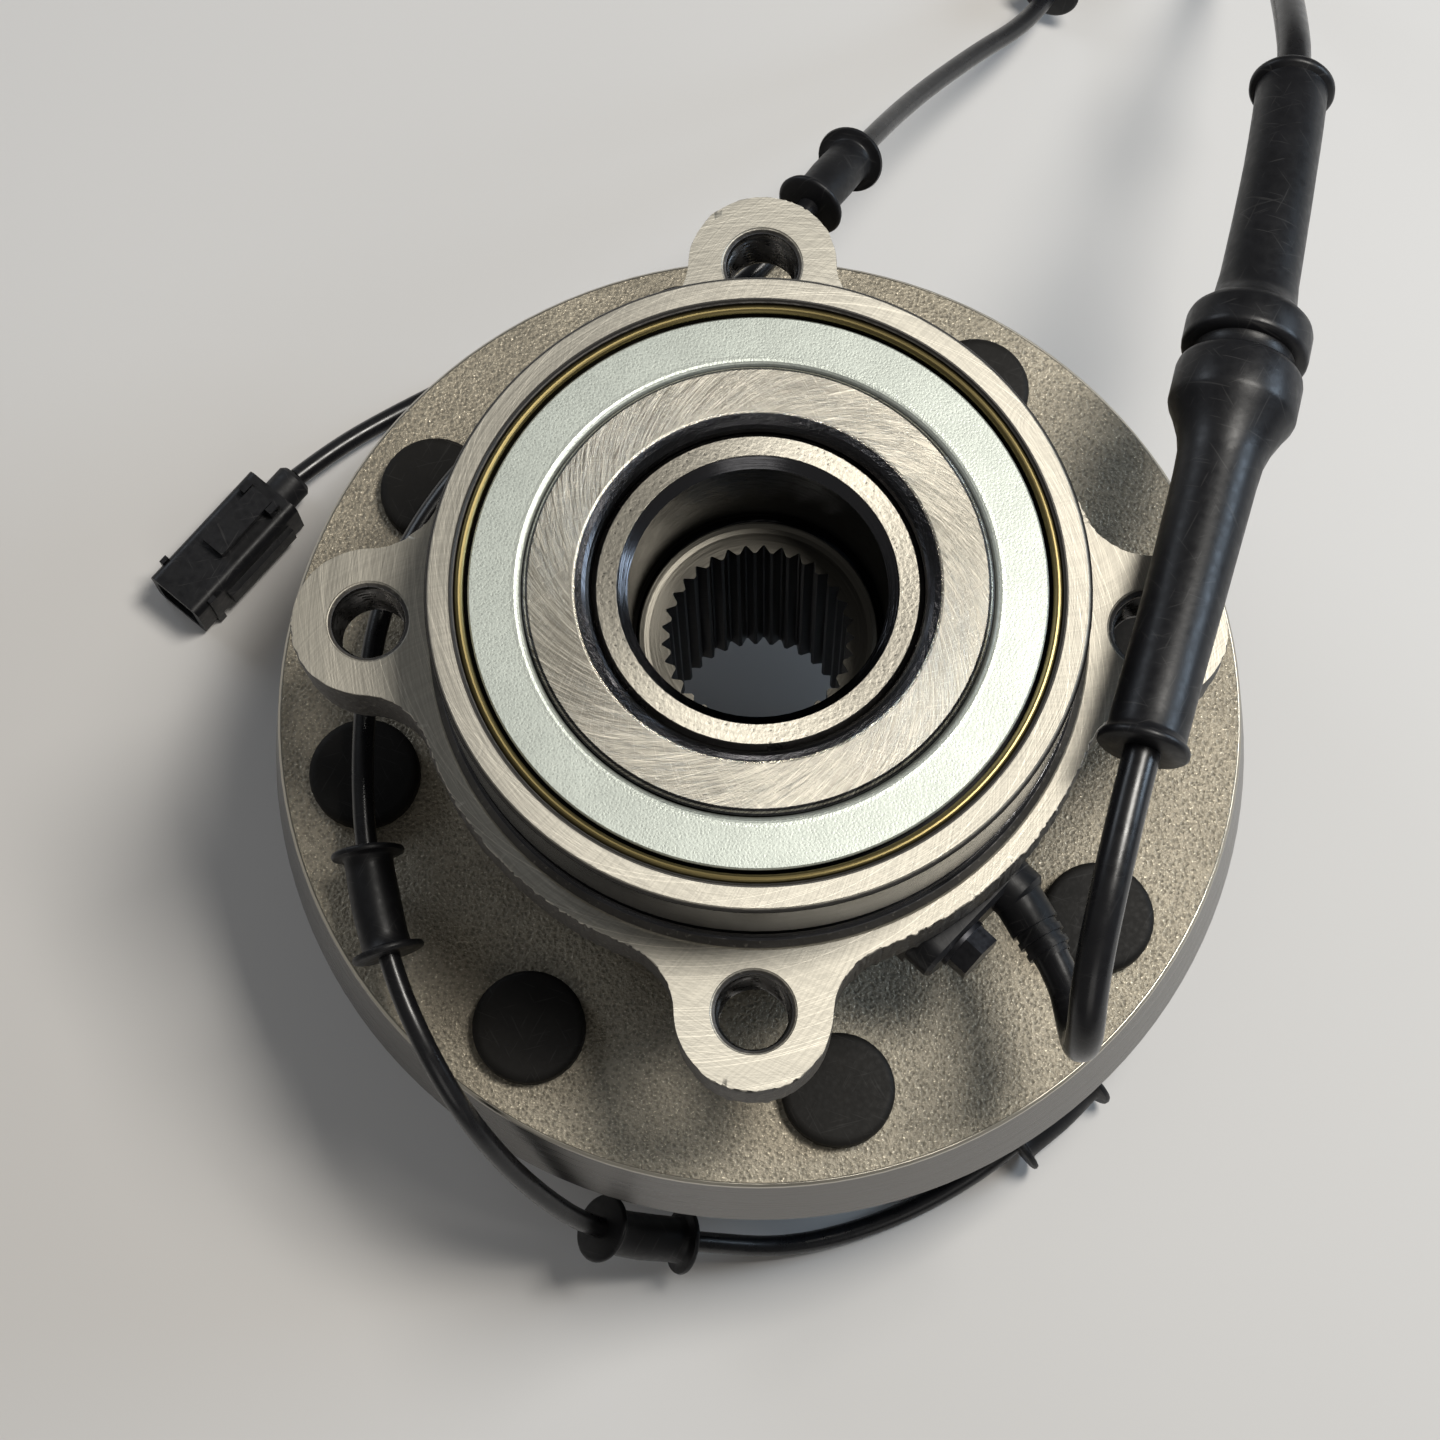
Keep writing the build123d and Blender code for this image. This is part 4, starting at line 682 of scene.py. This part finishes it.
def bare_metal_finish(name, colour, roughness):
    """A plain metal with a light grain, for pieces inside and small hardware."""
    material, net, shader = new_finish(name)
    grain = net.use("grain", Size=0.0008)
    shade = net.mix(grain["Tone"], rgba(colour, 0.8), rgba(colour, 1.1))
    rough = net.ramp(grain["Height"], 0.2, 0.8, roughness - 0.08, roughness + 0.08)
    net.fill(shader, Base_Color=shade, Metallic=1.0, Roughness=rough)
    bump(net, shader, grain["Height"], 0.00006, 0.4)
    return material


def black_finish(name, colour):
    """Rubber, plastic or phosphate: black with a fine skin, faint scuffs and settled dust."""
    roughness, grain_size, depth, dust, coat, gloss = BLACKS[name]
    material, net, shader = new_finish(name)
    grain = net.use("grain", Size=grain_size)
    scuffs = net.use("scuffs", Scale=90.0, Sparse=0.67)["Mask"]
    shade = net.mix(grain["Tone"], rgba(colour, 0.8), rgba(colour, 1.5))
    shade = net.mix(net.times(scuffs, dust), shade, rgba(DUST))
    rough = net.ramp(grain["Height"], 0.2, 0.8, roughness - 0.06, roughness + 0.08)
    net.fill(shader, Base_Color=shade, Roughness=rough, Specular_IOR_Level=gloss,
             Coat_Weight=coat, Coat_Roughness=0.25)
    bump(net, shader, grain["Height"], depth, 0.5)
    return material


def dress(nodes, material):
    """Gives CAD nodes a finish in their material slots."""
    for name in nodes:
        piece = frame["nodes"][name]
        if not piece.material_slots:
            piece.data.materials.append(material)
        for holder in piece.material_slots:
            holder.material = material


# ---- modelling helpers -----------------------------------
def new_object(name, data):
    """An object in the scene that holds the data."""
    made = bpy.data.objects.new(name, data)
    bpy.context.scene.collection.objects.link(made)
    return made


def start_fresh():
    """Leaves edit mode and drops the selection."""
    if bpy.context.object and bpy.context.object.mode != "OBJECT":
        bpy.ops.object.mode_set(mode="OBJECT")
    bpy.ops.object.select_all(action="DESELECT")


def divided(profile, step):
    """The outline with its long stretches divided, so that it can bend."""
    points = [profile[0]]
    for (radius, height), (next_radius, next_height) in zip(profile, profile[1:]):
        count = max(1, math.ceil(abs(next_height - height) / step))
        for part in range(1, count + 1):
            share = part / count
            points.append((radius + (next_radius - radius) * share,
                           height + (next_height - height) * share))
    return points


def turned_solid(name, profile, vertices):
    """A closed solid about Z from rings of (radius, height), extruded one after another."""
    start_fresh()
    radius, height = profile[0]
    bpy.ops.mesh.primitive_circle_add(vertices=vertices, radius=radius * MM, fill_type="NGON",
                                      location=(0, 0, height * MM))
    piece = bpy.context.object
    piece.name = name
    bpy.ops.object.mode_set(mode="EDIT")
    for next_radius, next_height in profile[1:]:
        rise = (next_height - height) * MM
        bpy.ops.mesh.extrude_region_move(TRANSFORM_OT_translate={"value": (0, 0, rise)})
        widen(next_radius / radius)
        radius, height = next_radius, next_height
    close_outwards()
    settle(piece)
    return piece


def close_outwards():
    """Turns all faces outwards and leaves edit mode."""
    bpy.ops.mesh.select_all(action="SELECT")
    bpy.ops.mesh.normals_make_consistent(inside=False)
    bpy.ops.object.mode_set(mode="OBJECT")


def widen(share):
    """Scales the selection about the axis."""
    bpy.ops.transform.resize(value=(share, share, 1))


def raise_edges(rise):
    """Extrudes the selected edges upwards; a negative rise goes down."""
    bpy.ops.mesh.extrude_edges_move(TRANSFORM_OT_translate={"value": (0, 0, rise * MM)})


def open_tube(name, heights, vertices, radius):
    """An open tube about Z, left in edit mode with its last ring selected; radius in metres."""
    start_fresh()
    start = (0, 0, heights[0] * MM)
    bpy.ops.mesh.primitive_circle_add(vertices=vertices, radius=radius, location=start)
    tube = bpy.context.object
    tube.name = name
    bpy.ops.object.mode_set(mode="EDIT")
    bpy.ops.mesh.select_all(action="SELECT")
    for before, after in zip(heights, heights[1:]):
        raise_edges(after - before)
    return tube


def settle(piece):
    """Applies the piece's place to its mesh."""
    piece.data.transform(piece.matrix_world)
    piece.matrix_world = Matrix.Identity(4)


def pick(piece):
    """Selects one piece alone."""
    start_fresh()
    piece.select_set(True)
    bpy.context.view_layer.objects.active = piece


def smooth(piece, degrees):
    """Smooth shading with sharp edges kept."""
    pick(piece)
    bpy.ops.object.shade_smooth_by_angle(angle=math.radians(degrees))


def apply_modifiers(piece):
    """Applies the piece's modifiers in order."""
    pick(piece)
    for modifier in list(piece.modifiers):
        bpy.ops.object.modifier_apply(modifier=modifier.name)


def route_curve(name, points, diameter):
    """A smooth cord along given points, in millimetres."""
    data = bpy.data.curves.new(name, "CURVE")
    data.dimensions = "3D"
    spline = data.splines.new("NURBS")
    spline.points.add(len(points) - 1)
    for target, point in zip(spline.points, points):
        target.co = (*(Vector(point) * MM), 1)
        target.radius = diameter / 2
    spline.order_u = 3
    spline.use_endpoint_u = True
    data.resolution_u = CORD_STEPS
    data.render_resolution_u = CORD_STEPS
    data.bevel_depth = 1.0
    data.use_radius = False
    data.bevel_resolution = CORD_SIDES
    data.use_fill_caps = True
    return new_object(name, data)


def centreline(curve):
    """Points along the curve's own line, read with the bevel off."""
    depth = curve.data.bevel_depth
    curve.data.bevel_depth = 0
    bpy.context.view_layer.update()
    evaluated = curve.evaluated_get(bpy.context.evaluated_depsgraph_get())
    mesh = bpy.data.meshes.new_from_object(evaluated)
    points = [vertex.co.copy() for vertex in mesh.vertices]
    bpy.data.meshes.remove(mesh)
    curve.data.bevel_depth = depth
    return points


def distance_to(points, place):
    """Distance along the line to its point nearest to a place."""
    travelled, best, found = 0.0, math.inf, 0.0
    for before, after in zip(points, points[1:]):
        gap = (after - place).length
        travelled += (after - before).length
        if gap < best:
            best, found = gap, travelled
    return found


def bend_along(piece, curve, start):
    """Lays a piece that was turned about Z along a curve, from a distance on it."""
    lying = Matrix.Rotation(math.radians(90), 4, "Y")
    piece.data.transform(Matrix.Translation((start, 0, 0)) @ lying)
    follow = piece.modifiers.new("follow", "CURVE")
    follow.object = curve
    follow.deform_axis = "POS_X"
    depth = curve.data.bevel_depth
    curve.data.bevel_depth = 0
    apply_modifiers(piece)
    curve.data.bevel_depth = depth


def finish_piece(piece, material, body, slot, *nodes):
    """Material and body of a finished piece, and the CAD nodes that it stands for; the slot is not
    used.
    """
    piece.data.materials.clear()
    piece.data.materials.append(material)
    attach(piece, body)
    if nodes:
        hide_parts(*nodes)


def centre_of(node):
    """Middle of a CAD node's box."""
    low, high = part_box(node)
    return (low + high) / 2


# ---- operators -------------------------------------------
class HUB_OT_metals(bpy.types.Operator):
    """Give the steel, plated and hidden pieces their finishes"""

    bl_idname = "hub.metals"
    bl_label = "Metal finishes"

    def execute(self, context):
        colours = context.scene.hub_finish
        make_groups()
        dress(["hub_flange"], hub_finish(colours))
        dress(["outer_ring"], outer_ring_finish(colours))
        dress(["inboard_inner_ring", "outboard_inner_ring"], ground_ring_finish(colours))
        dress(["inboard_slinger"], zinc_finish(colours))
        dress(["inboard_seal_case", "outboard_seal_case"], plated_finish(colours))
        for nodes, name, colour, roughness in SMALL_METALS:
            dress(nodes, bare_metal_finish(name, colour, roughness))
        seals = ["inboard_seal_lip", "outboard_seal_lip", "sensor_o_ring"]
        dress(seals, black_finish("seal rubber", colours.rubber))
        plastic = black_finish("sensor plastic", colours.rubber)
        dress(["sensor_body", "sensor_strain_relief"], plastic)
        return {"FINISHED"}


class HUB_OT_cords(bpy.types.Operator):
    """Lay the sleeved cable and the thin lead"""

    bl_idname = "hub.cords"
    bl_label = "Cords"

    def execute(self, context):
        sizes = context.scene.hub_cords
        colours = context.scene.hub_finish
        jacket = black_finish("cord jacket", colours.rubber)
        sleeve = route_curve("sleeve_cable", SLEEVE_ROUTE, sizes.sleeve_diameter)
        lead = route_curve("lead_cable", LEAD_ROUTE, sizes.lead_diameter)
        finish_piece(sleeve, jacket, FIXED, "black_rubber", "sensor_sleeve")
        finish_piece(lead, jacket, FIXED, "black_rubber", "sensor_lead")
        return {"FINISHED"}


def rings(radius, low, high):
    """Rings of one radius between two heights, spaced for a thread."""
    count = round((high - low) / (THREAD_PITCH / RINGS_PER_TURN))
    return [(radius, low + (high - low) * part / count) for part in range(count + 1)]


def cut_thread(piece, radius, depth, low, high):
    """Draws the rings of a straight stretch inwards along a helix."""
    for vertex in piece.data.vertices:
        place = vertex.co / MM
        off = abs(math.hypot(place.x, place.y) - radius)
        if off > RING_TOLERANCE or not low < place.z < high:
            continue
        phase = (place.z / THREAD_PITCH - math.atan2(place.y, place.x) / math.tau) % 1.0
        fade = min(1.0, (place.z - low) / THREAD_PITCH, (high - place.z) / THREAD_PITCH)
        share = 1 - depth * fade * max(0.0, 2 * abs(phase - 0.5) - THREAD_CREST) / radius
        vertex.co.x *= share
        vertex.co.y *= share


def copies_about_axis(piece, count, radius, first_turn=0.0):
    """Joins evenly turned copies of a piece at one radius, each with its own mesh."""
    start_fresh()
    place = Matrix.Translation((radius * MM, 0, 0))
    made = []
    for number in range(count):
        copy = new_object(piece.name, piece.data.copy())
        turn = math.radians(first_turn + 360 / count * number)
        copy.data.transform(Matrix.Rotation(turn, 4, "Z") @ place)
        copy.select_set(True)
        made.append(copy)
    name = piece.name
    bpy.data.objects.remove(piece)
    bpy.context.view_layer.objects.active = made[0]
    bpy.ops.object.join()
    made[0].name = name
    return made[0]


class HUB_OT_threads(bpy.types.Operator):
    """Model the threaded wheel studs and the tapped ear holes"""

    bl_idname = "hub.threads"
    bl_label = "Studs and threads"

    def execute(self, context):
        low, high = STUD_THREAD
        profile = STUD_PROFILE + rings(STUD_RADIUS, low, high) + STUD_TAIL_PROFILE
        stud = turned_solid("studs", profile, vertices=36)
        cut_thread(stud, STUD_RADIUS, STUD_THREAD_DEPTH, low, high)
        studs = copies_about_axis(stud, STUD_COUNT, STUD_CIRCLE / 2, FIRST_STUD_TURN)
        smooth(studs, degrees=40)
        phosphate = black_finish("stud phosphate", PHOSPHATE)
        finish_piece(studs, phosphate, TURNING, "black_phosphate", "wheel_studs")
        self.tap_ears()
        return {"FINISHED"}

    def tap_ears(self):
        """Thin threaded liners on the walls of the ear holes."""
        inner = EAR_HOLE_RADIUS - LINER_WALL
        low, high = EAR_THREAD
        heights = [height for _, height in rings(inner, low, high)]
        liner = open_tube("ear_threads", heights, vertices=56, radius=inner * MM)
        grow = EAR_HOLE_RADIUS / inner
        raise_edges(LINER_LIP)
        widen(grow)
        raise_edges(low - high - 2 * LINER_LIP)
        raise_edges(LINER_LIP)
        widen(1 / grow)
        bpy.ops.mesh.select_all(action="SELECT")
        bpy.ops.mesh.remove_doubles(threshold=0.005 * MM)
        close_outwards()
        settle(liner)
        cut_thread(liner, inner, EAR_THREAD_DEPTH, low, high)
        liners = copies_about_axis(liner, EAR_COUNT, EAR_PITCH_RADIUS)
        smooth(liners, degrees=40)
        tapped = bare_metal_finish("tapped steel", TAPPED_STEEL, 0.28)
        finish_piece(liners, tapped, FIXED, "machined_steel")


def mount_outline(turn):
    """Radius of the lobed flange's edge at an angle, worked out from its circles and blends."""
    away = abs((turn + math.pi / 4) % (math.pi / 2) - math.pi / 4)
    reach = MOUNT_BASE_RADIUS + EAR_BLEND
    span = EAR_RADIUS + EAR_BLEND
    blend_at = math.acos(
        (reach ** 2 + EAR_PITCH_RADIUS ** 2 - span ** 2) / (2 * reach * EAR_PITCH_RADIUS))
    side = EAR_RADIUS / span
    touch = math.atan2(side * reach * math.sin(blend_at),
                       EAR_PITCH_RADIUS + side * (reach * math.cos(blend_at) - EAR_PITCH_RADIUS))
    if away < touch:
        return EAR_PITCH_RADIUS * math.cos(away) + math.sqrt(
            max(0.0, EAR_RADIUS ** 2 - (EAR_PITCH_RADIUS * math.sin(away)) ** 2))
    if away < blend_at:
        off = blend_at - away
        dip = math.sqrt(max(0.0, EAR_BLEND ** 2 - (reach * math.sin(off)) ** 2))
        return reach * math.cos(off) - dip
    return MOUNT_BASE_RADIUS


def forged_edge(turn, height):
    """Uneven stock of the forging at one point of its edge: broad swells, ripples and chips."""
    round_place = Vector((math.cos(turn), math.sin(turn), height * 0.012))
    swell = noise.noise(round_place * 9.0) * 0.30
    ripple = noise.noise(round_place * 48.0) * 0.42
    chips = max(0.0, noise.noise(round_place * 110.0) - 0.15) * 0.9
    return swell + ripple - chips


class HUB_OT_forging(bpy.types.Operator):
    """Model the uneven forged edge of the lobed mounting flange"""

    bl_idname = "hub.forging"
    bl_label = "Forged edge"

    def execute(self, context):
        # the band starts with walls of 1 m and 0.5 m radius, which then get their real outlines
        heights = [height for height, _ in EDGE_RINGS]
        band = open_tube("forged_edge", heights, vertices=EDGE_POINTS, radius=1.0)
        bpy.ops.mesh.extrude_edges_move()
        widen(0.5)
        raise_edges(heights[0] - heights[-1])
        bpy.ops.mesh.extrude_edges_move()
        widen(2)
        bpy.ops.mesh.select_all(action="SELECT")
        bpy.ops.mesh.remove_doubles(threshold=0.002 * MM)
        bpy.ops.object.mode_set(mode="OBJECT")
        settle(band)
        for vertex in band.data.vertices:
            turn = math.atan2(vertex.co.y, vertex.co.x)
            height = vertex.co.z / MM
            radius = mount_outline(turn)
            if vertex.co.xy.length > 0.75:
                _, growth = min(EDGE_RINGS, key=lambda ring: abs(ring[0] - height))
                radius = radius + EDGE_STOCK + forged_edge(turn, height) + growth
            else:
                radius -= EDGE_DEPTH
            vertex.co.x, vertex.co.y = math.cos(turn) * radius * MM, math.sin(turn) * radius * MM
        bpy.context.view_layer.objects.active = band
        bpy.ops.object.mode_set(mode="EDIT")
        close_outwards()
        smooth(band, degrees=45)
        finish_piece(band, bpy.data.materials["outer ring steel"], FIXED, "forged_steel")
        return {"FINISHED"}


def lay_on_cord(piece, cord, start, rubber, node):
    """Bends a turned piece along its cord and finishes it."""
    bend_along(piece, cord, start)
    smooth(piece, degrees=50)
    finish_piece(piece, rubber, FIXED, "black_rubber", node)


class HUB_OT_boots(bpy.types.Operator):
    """Model the frame boot, the splice collar and the grommets on the cords"""

    bl_idname = "hub.boots"
    bl_label = "Boots and grommets"

    def execute(self, context):
        colours = context.scene.hub_finish
        rubber = black_finish("boot rubber", colours.rubber)
        sleeve, lead = bpy.data.objects["sleeve_cable"], bpy.data.objects["lead_cable"]
        sleeve_line, lead_line = centreline(sleeve), centreline(lead)
        start, end = (distance_to(sleeve_line, Vector(point) * MM) for point in BOOT_ENDS)
        stretch = (end - start) / (BOOT_PROFILE[-1][1] * MM)
        outline = [(radius, height * stretch) for radius, height in BOOT_PROFILE]
        boot = turned_solid("boot", divided(outline, step=4.0), vertices=56)
        lay_on_cord(boot, sleeve, start, rubber, "frame_boot")
        soft_grommet = black_finish("grommet rubber", colours.rubber)
        half = GROMMET_PROFILE[-1][1] * MM / 2
        for number in range(1, GROMMETS + 1):
            node = f"grommet_{number}"
            outline = divided(GROMMET_PROFILE, step=2.5)
            piece = turned_solid(f"bobbin_{number}", outline, vertices=44)
            start = distance_to(lead_line, centre_of(node)) - half
            lay_on_cord(piece, lead, start, soft_grommet, node)
        collar = turned_solid("splice", divided(SPLICE_PROFILE, step=2.0), vertices=40)
        sleeve_length = distance_to(sleeve_line, sleeve_line[-1])
        lay_on_cord(collar, sleeve, sleeve_length - SPLICE_OVERLAP * MM, rubber, "splice_collar")
        declare_cords()
        return {"FINISHED"}


def declare_cords():
    """Gathers the grommet pieces and the connector's nodes that go with the lead into a list, which is
    not used further.
    """
    nodes = frame["nodes"]
    on_lead = [f"bobbin_{number}" for number in range(1, GROMMETS + 1)]
    fittings = ("connector_housing", "connector_seal", "connector_latch", "connector_pins")
    on_lead += [nodes[name] for name in fittings]


class HUB_OT_connector(bpy.types.Operator):
    """Finish the connector at the end of the lead"""

    bl_idname = "hub.connector"
    bl_label = "Connector"

    def execute(self, context):
        colours = context.scene.hub_finish
        plastic = black_finish("connector plastic", colours.rubber)
        dress(["connector_housing", "connector_latch"], plastic)
        dress(["connector_seal"], black_finish("seal sleeve rubber", colours.rubber))
        return {"FINISHED"}


def soft_light(name, place, size, power, colour):
    """A square area light that faces the part."""
    data = bpy.data.lights.new(name, "AREA")
    data.shape = "SQUARE"
    data.size = size
    data.energy = power
    data.color = colour
    light = new_object(name, data)
    light.location = place
    ray = Vector(LIGHT_TARGET) - Vector(place)
    light.rotation_euler = ray.to_track_quat("-Z", "Y").to_euler()


class HUB_OT_stage(bpy.types.Operator):
    """Set the plain floor, the soft lights and the camera"""

    bl_idname = "hub.stage"
    bl_label = "Stage"

    def execute(self, context):
        stage = context.scene.hub_stage
        start_fresh()
        bpy.ops.mesh.primitive_plane_add(size=FLOOR_SIZE, location=(0, 0, 0))
        floor = context.object
        floor.name = "floor"
        material, net, shader = new_finish("plain floor")
        tone = net.noise(net.place, 6.0, 2.0)
        seen = net.mix(tone, rgba(stage.floor_colour, 0.98), rgba(stage.floor_colour, 1.02))
        rays = net.add("ShaderNodeLightPath").outputs
        mirrored = net.most(rays["Is Glossy Ray"], rays["Is Transmission Ray"])
        direct = net.most(rays["Is Camera Ray"], mirrored)
        bounced = rgba(stage.floor_colour, FLOOR_BOUNCE)
        net.fill(shader, Base_Color=net.mix(direct, bounced, seen), Roughness=0.85)
        floor.data.materials.append(material)
        self.light(context.scene, stage)
        self.camera(context.scene, stage)
        return {"FINISHED"}

    def light(self, scene, stage):
        """Four soft lights and even surroundings."""
        for name, (place, size, share, colour) in LIGHTS.items():
            soft_light(name, place, size, stage.key_power * share, colour)
        world = bpy.data.worlds.new("surroundings")
        world.use_nodes = True
        background = world.node_tree.nodes["Background"]
        background.inputs["Color"].default_value = WORLD_COLOUR
        background.inputs["Strength"].default_value = stage.world_level
        scene.world = world
        scene.view_settings.view_transform = "Standard"

    def camera(self, scene, stage):
        """The camera stands above the front of the hub and looks down on its inboard end."""
        data = bpy.data.cameras.new("camera")
        data.lens = stage.lens
        data.sensor_width = 36.0
        camera = new_object("camera", data)
        turn = Matrix((CAMERA_RIGHT, CAMERA_UP, CAMERA_BACK)).transposed().to_4x4()
        camera.matrix_world = Matrix.Translation(CAMERA_PLACE) @ turn
        scene.camera = camera


STEPS = ("metals", "threads", "forging", "cords", "boots", "connector", "stage")


class HUB_PT_panel(bpy.types.Panel):
    """Steps and settings of the hub bearing's looks"""

    bl_idname = "HUB_PT_panel"
    bl_label = "Hub Bearing"
    bl_space_type = "VIEW_3D"
    bl_region_type = "UI"
    bl_category = "Hub Bearing"

    def draw(self, context):
        for step in STEPS:
            self.layout.operator(f"hub.{step}")
        scene = context.scene
        for settings in (scene.hub_finish, scene.hub_cords, scene.hub_stage):
            box = self.layout.box()
            for name in settings.__annotations__:
                box.prop(settings, name)


CLASSES = (
    HubFinishSettings, HubCordSettings, HubStageSettings, HUB_OT_metals, HUB_OT_threads,
    HUB_OT_forging, HUB_OT_cords, HUB_OT_boots, HUB_OT_connector, HUB_OT_stage, HUB_PT_panel,
)


def register():
    for item in CLASSES:
        bpy.utils.register_class(item)
    bpy.types.Scene.hub_finish = bpy.props.PointerProperty(type=HubFinishSettings)
    bpy.types.Scene.hub_cords = bpy.props.PointerProperty(type=HubCordSettings)
    bpy.types.Scene.hub_stage = bpy.props.PointerProperty(type=HubStageSettings)


def unregister():
    del bpy.types.Scene.hub_stage
    del bpy.types.Scene.hub_cords
    del bpy.types.Scene.hub_finish
    for item in reversed(CLASSES):
        bpy.utils.unregister_class(item)


def main():
    """Runs every step."""
    register()
    for step in STEPS:
        getattr(bpy.ops.hub, step)()


if __name__ == "__main__":
    main()
